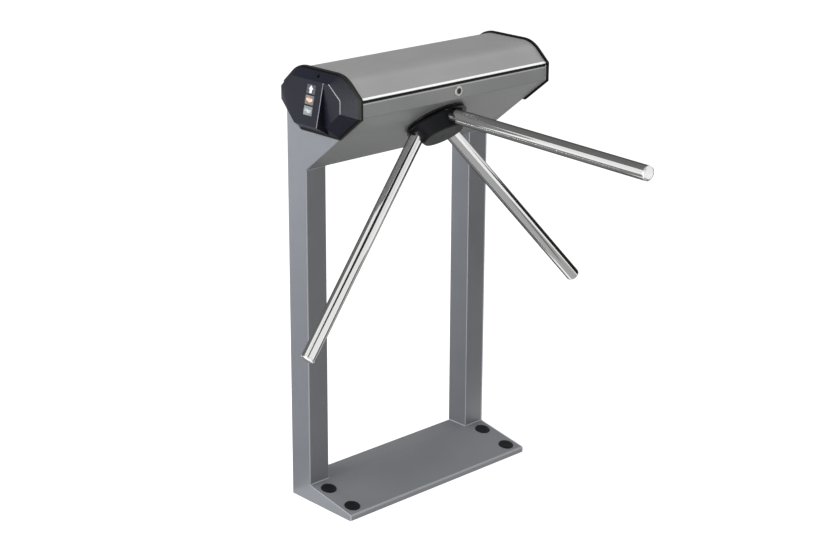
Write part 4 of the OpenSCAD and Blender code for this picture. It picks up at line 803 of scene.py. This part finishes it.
lens_smoke = smoked("lens_smoke", (0.05, 0.05, 0.053))
window_paints = [smoked(f"window_{k}", color) for k, color in enumerate(window_colors)]
figure_paints = (glowing("figure_white", (0.74, 0.74, 0.84), 0.34),
                 glowing("figure_orange", (0.9, 0.46, 0.28), 0.38),
                 glowing("figure_pale", (0.46, 0.5, 0.47), 0.16))
for side in ("left", "right"):
    refined(f"signal_lenses_{side}", "moulded", 0.0003, lens_smoke, "frame", "signal_lens")
    for k, figure in enumerate((arrow, lozenge, bar)):
        height = window_heights[k]
        out = face_x + (face_top - height) * math.tan(face_lean)
        spot = Matrix.Translation((-out, window_y, height)) @ Matrix.Rotation(face_lean, 4, "Y")
        spot = spot @ Matrix.Rotation(-math.pi / 2, 4, "Z") @ Matrix.Rotation(math.pi / 2, 4, "X")
        plate = placed(prism(f"window_{side}_{k}", window, window_low, window_high), spot)
        legend = placed(prism(f"figure_{side}_{k}", figure, window_high, figure_high), spot)
        for piece, paint in ((plate, window_paints[k]), (legend, figure_paints[k])):
            if side == "right":
                piece.data.transform(Matrix.Scale(-1, 4, (1, 0, 0)))
                piece.data.flip_normals()
            fitted(piece, paint, "frame", "signal_lens")

# ---------------------------------------------------------------------------------------------
# Cam lock. A chromed bezel and a dark nickelled plug with a keyway, a nut inside, and the plated
# cam.


def polished(name, color, roughness):
    """Bright chrome or stainless with very fine handling marks."""
    material, tree, shader, place = fresh_material(name, color, 1, roughness)
    cloud = grain(tree, place, scale=40, detail=2)
    vary_color(tree, shader, cloud, tint(color, 0.94), tint(color, 1.04))
    marks = grain(tree, place, scale=900, detail=2)
    vary_roughness(tree, shader, marks, roughness * 0.7, roughness * 1.6)
    return material


chrome = polished("lock_chrome", (0.46, 0.46, 0.45), 0.2)
plug_nickel = polished("lock_plug_nickel", (0.07, 0.07, 0.07), 0.3)
refined("lock_body", "turned", 0.0004, chrome, "frame", "lock_chrome")
refined("lock_plug", "turned", 0.0003, plug_nickel, "lock_core", "lock_chrome")
refined("lock_nut", "hex", 0.0005, zinc, "frame", "plated_steel")
refined("lock_cam", "cut", 0.0004, zinc, "lock_core", "plated_steel")

# ---------------------------------------------------------------------------------------------
# Lid. One folded sheet with long soft bends and hems, hung on two riveted steel hinges, with a
# keeper for the cam. Its hem carries a painted highlight, near white. It rests over a strip of black
# foam rubber.
hem_highlight_white = (0.96, 0.96, 0.95)
lid_edge_y, lid_edge_z = 0.13, 0.9575
# A painted highlight, near white, along the lid's lower hem.
hem_highlight_stops = ((lid_edge_z + 0.0034, hem_highlight_white, 1), (lid_edge_z + 0.0038, head_grey, 0))
lid_paint = powder_coat("lid_powder_coat", head_grey, coat_metal, 0.38, hem_highlight_stops)
refined("lid", "sheet", 0.0007, lid_paint, "lid", "head_paint")
refined("lid_keeper", "bent", 0.0004, zinc, "lid", "plated_steel")
refined("lid_gasket", "strip", 0.0008, rubber, "frame", "rubber")
hinge_zinc = plated_metal("hinge_zinc", (0.5, 0.51, 0.52), 0.3, 80)
for body in ("frame", "lid"):
    refined(f"hinge_leaves_{body}", "rolled", 0.0003, hinge_zinc, body, "plated_steel")
refined("hinge_pins", "headed", 0.0006, turned_steel, "frame", "plated_steel")
rivet_profile = [(0, 0.0014), (0.0012, 0.0012), (0.0021, 0.0006), (0.0024, 0), (0, 0)]
hinge_x, rivet_step = 0.17, 0.02
frame_leaf_y, frame_leaf_z = 0.1315, 0.9375
lid_slope = math.atan2(42.5, 47)
leaf_middle, leaf_top = 0.016, 0.0015
lid_leaf_y = lid_edge_y - leaf_middle * math.cos(lid_slope) + leaf_top * math.sin(lid_slope)
lid_leaf_z = lid_edge_z + leaf_middle * math.sin(lid_slope) + leaf_top * math.cos(lid_slope)
rivets = {"frame": [], "lid": []}
for sign in (-1, 1):
    for offset in (-rivet_step, 0, rivet_step):
        x = sign * hinge_x + offset
        low = Matrix.Translation((x, frame_leaf_y, frame_leaf_z)) @ Matrix.Rotation(-math.pi / 2, 4, "X")
        rivets["frame"].append(placed(turned("rivet", rivet_profile, 20), low))
        high = Matrix.Translation((x, lid_leaf_y, lid_leaf_z)) @ Matrix.Rotation(-lid_slope, 4, "X")
        rivets["lid"].append(placed(turned("rivet", rivet_profile, 20), high))
for body, pieces in rivets.items():
    fitted(joined(pieces, f"hinge_rivets_{body}"), turned_steel, body, "plated_steel")

# ---------------------------------------------------------------------------------------------
# Hub. A fixed ring on the slanted face and, with a narrow groove before it, the turning hub: a
# flange, a cone with the sockets of the arms, and a plain cover held by one screw.
hub_black = moulded_plastic("hub_black", (0.003, 0.0032, 0.0058), 0.32, 700, 0.00005, gloss=0.15)
# The ring lies wholly inside the cap's rim band, so it takes that painted shade, near black.
refined("trim_ring", "moulded", 0.0006, cap_black, "frame", "black_plastic")
refined("hub", "cast", 0.0007, hub_black, "rotor", "black_casting")
cover_black = moulded_plastic("cover_black", (0.028, 0.028, 0.027), 0.42, 1200, 0.00003)
refined("hub_cover", "pressed", 0.0006, cover_black, "rotor", "black_casting")
screw_black = plated_metal("screw_black", (0.03, 0.03, 0.033), 0.35, 140)
refined("hub_screws", "set", 0.0003, screw_black, "rotor", "plated_steel")

# ---------------------------------------------------------------------------------------------
# Arms. Stock stainless tubes, polished lengthwise, pushed into the hub's sockets, each with a
# pale domed plug in its end.
arm_tilt = math.pi - math.radians(49.8)


def tube_polish(name, turn):
    """Polished stainless: long fine streaks along the tube and a soft variation of tone."""
    material, tree, shader, place = fresh_material(name, (0.78, 0.78, 0.77), 1, 0.09)
    shader.inputs["Specular Tint"].default_value = (0.12, 0.12, 0.12, 1)
    streak = grain(tree, place, scale=260, detail=3, stretch=(1, 1, 160), turn=turn, kind="TEXTURE")
    vary_roughness(tree, shader, streak, 0.08, 0.11)
    vary_color(tree, shader, streak, (0.72, 0.72, 0.715), (0.84, 0.84, 0.83), 0.3, 0.7)
    return material


tip_steel = polished("tip_steel", (0.8, 0.8, 0.8), 0.2)
for k in range(3):
    spin = rotor_place @ Matrix.Rotation(math.radians(120 * k), 4, "Z") @ Matrix.Rotation(arm_tilt, 4, "X")
    paint = tube_polish(f"arm_polish_{k + 1}", tuple(spin.to_euler()))
    refined(f"arm_{k + 1}", "tube", 0.0004, paint, "rotor", "arm_steel")
refined("arm_tips", "domed", 0.0003, tip_steel, "rotor", "arm_steel")
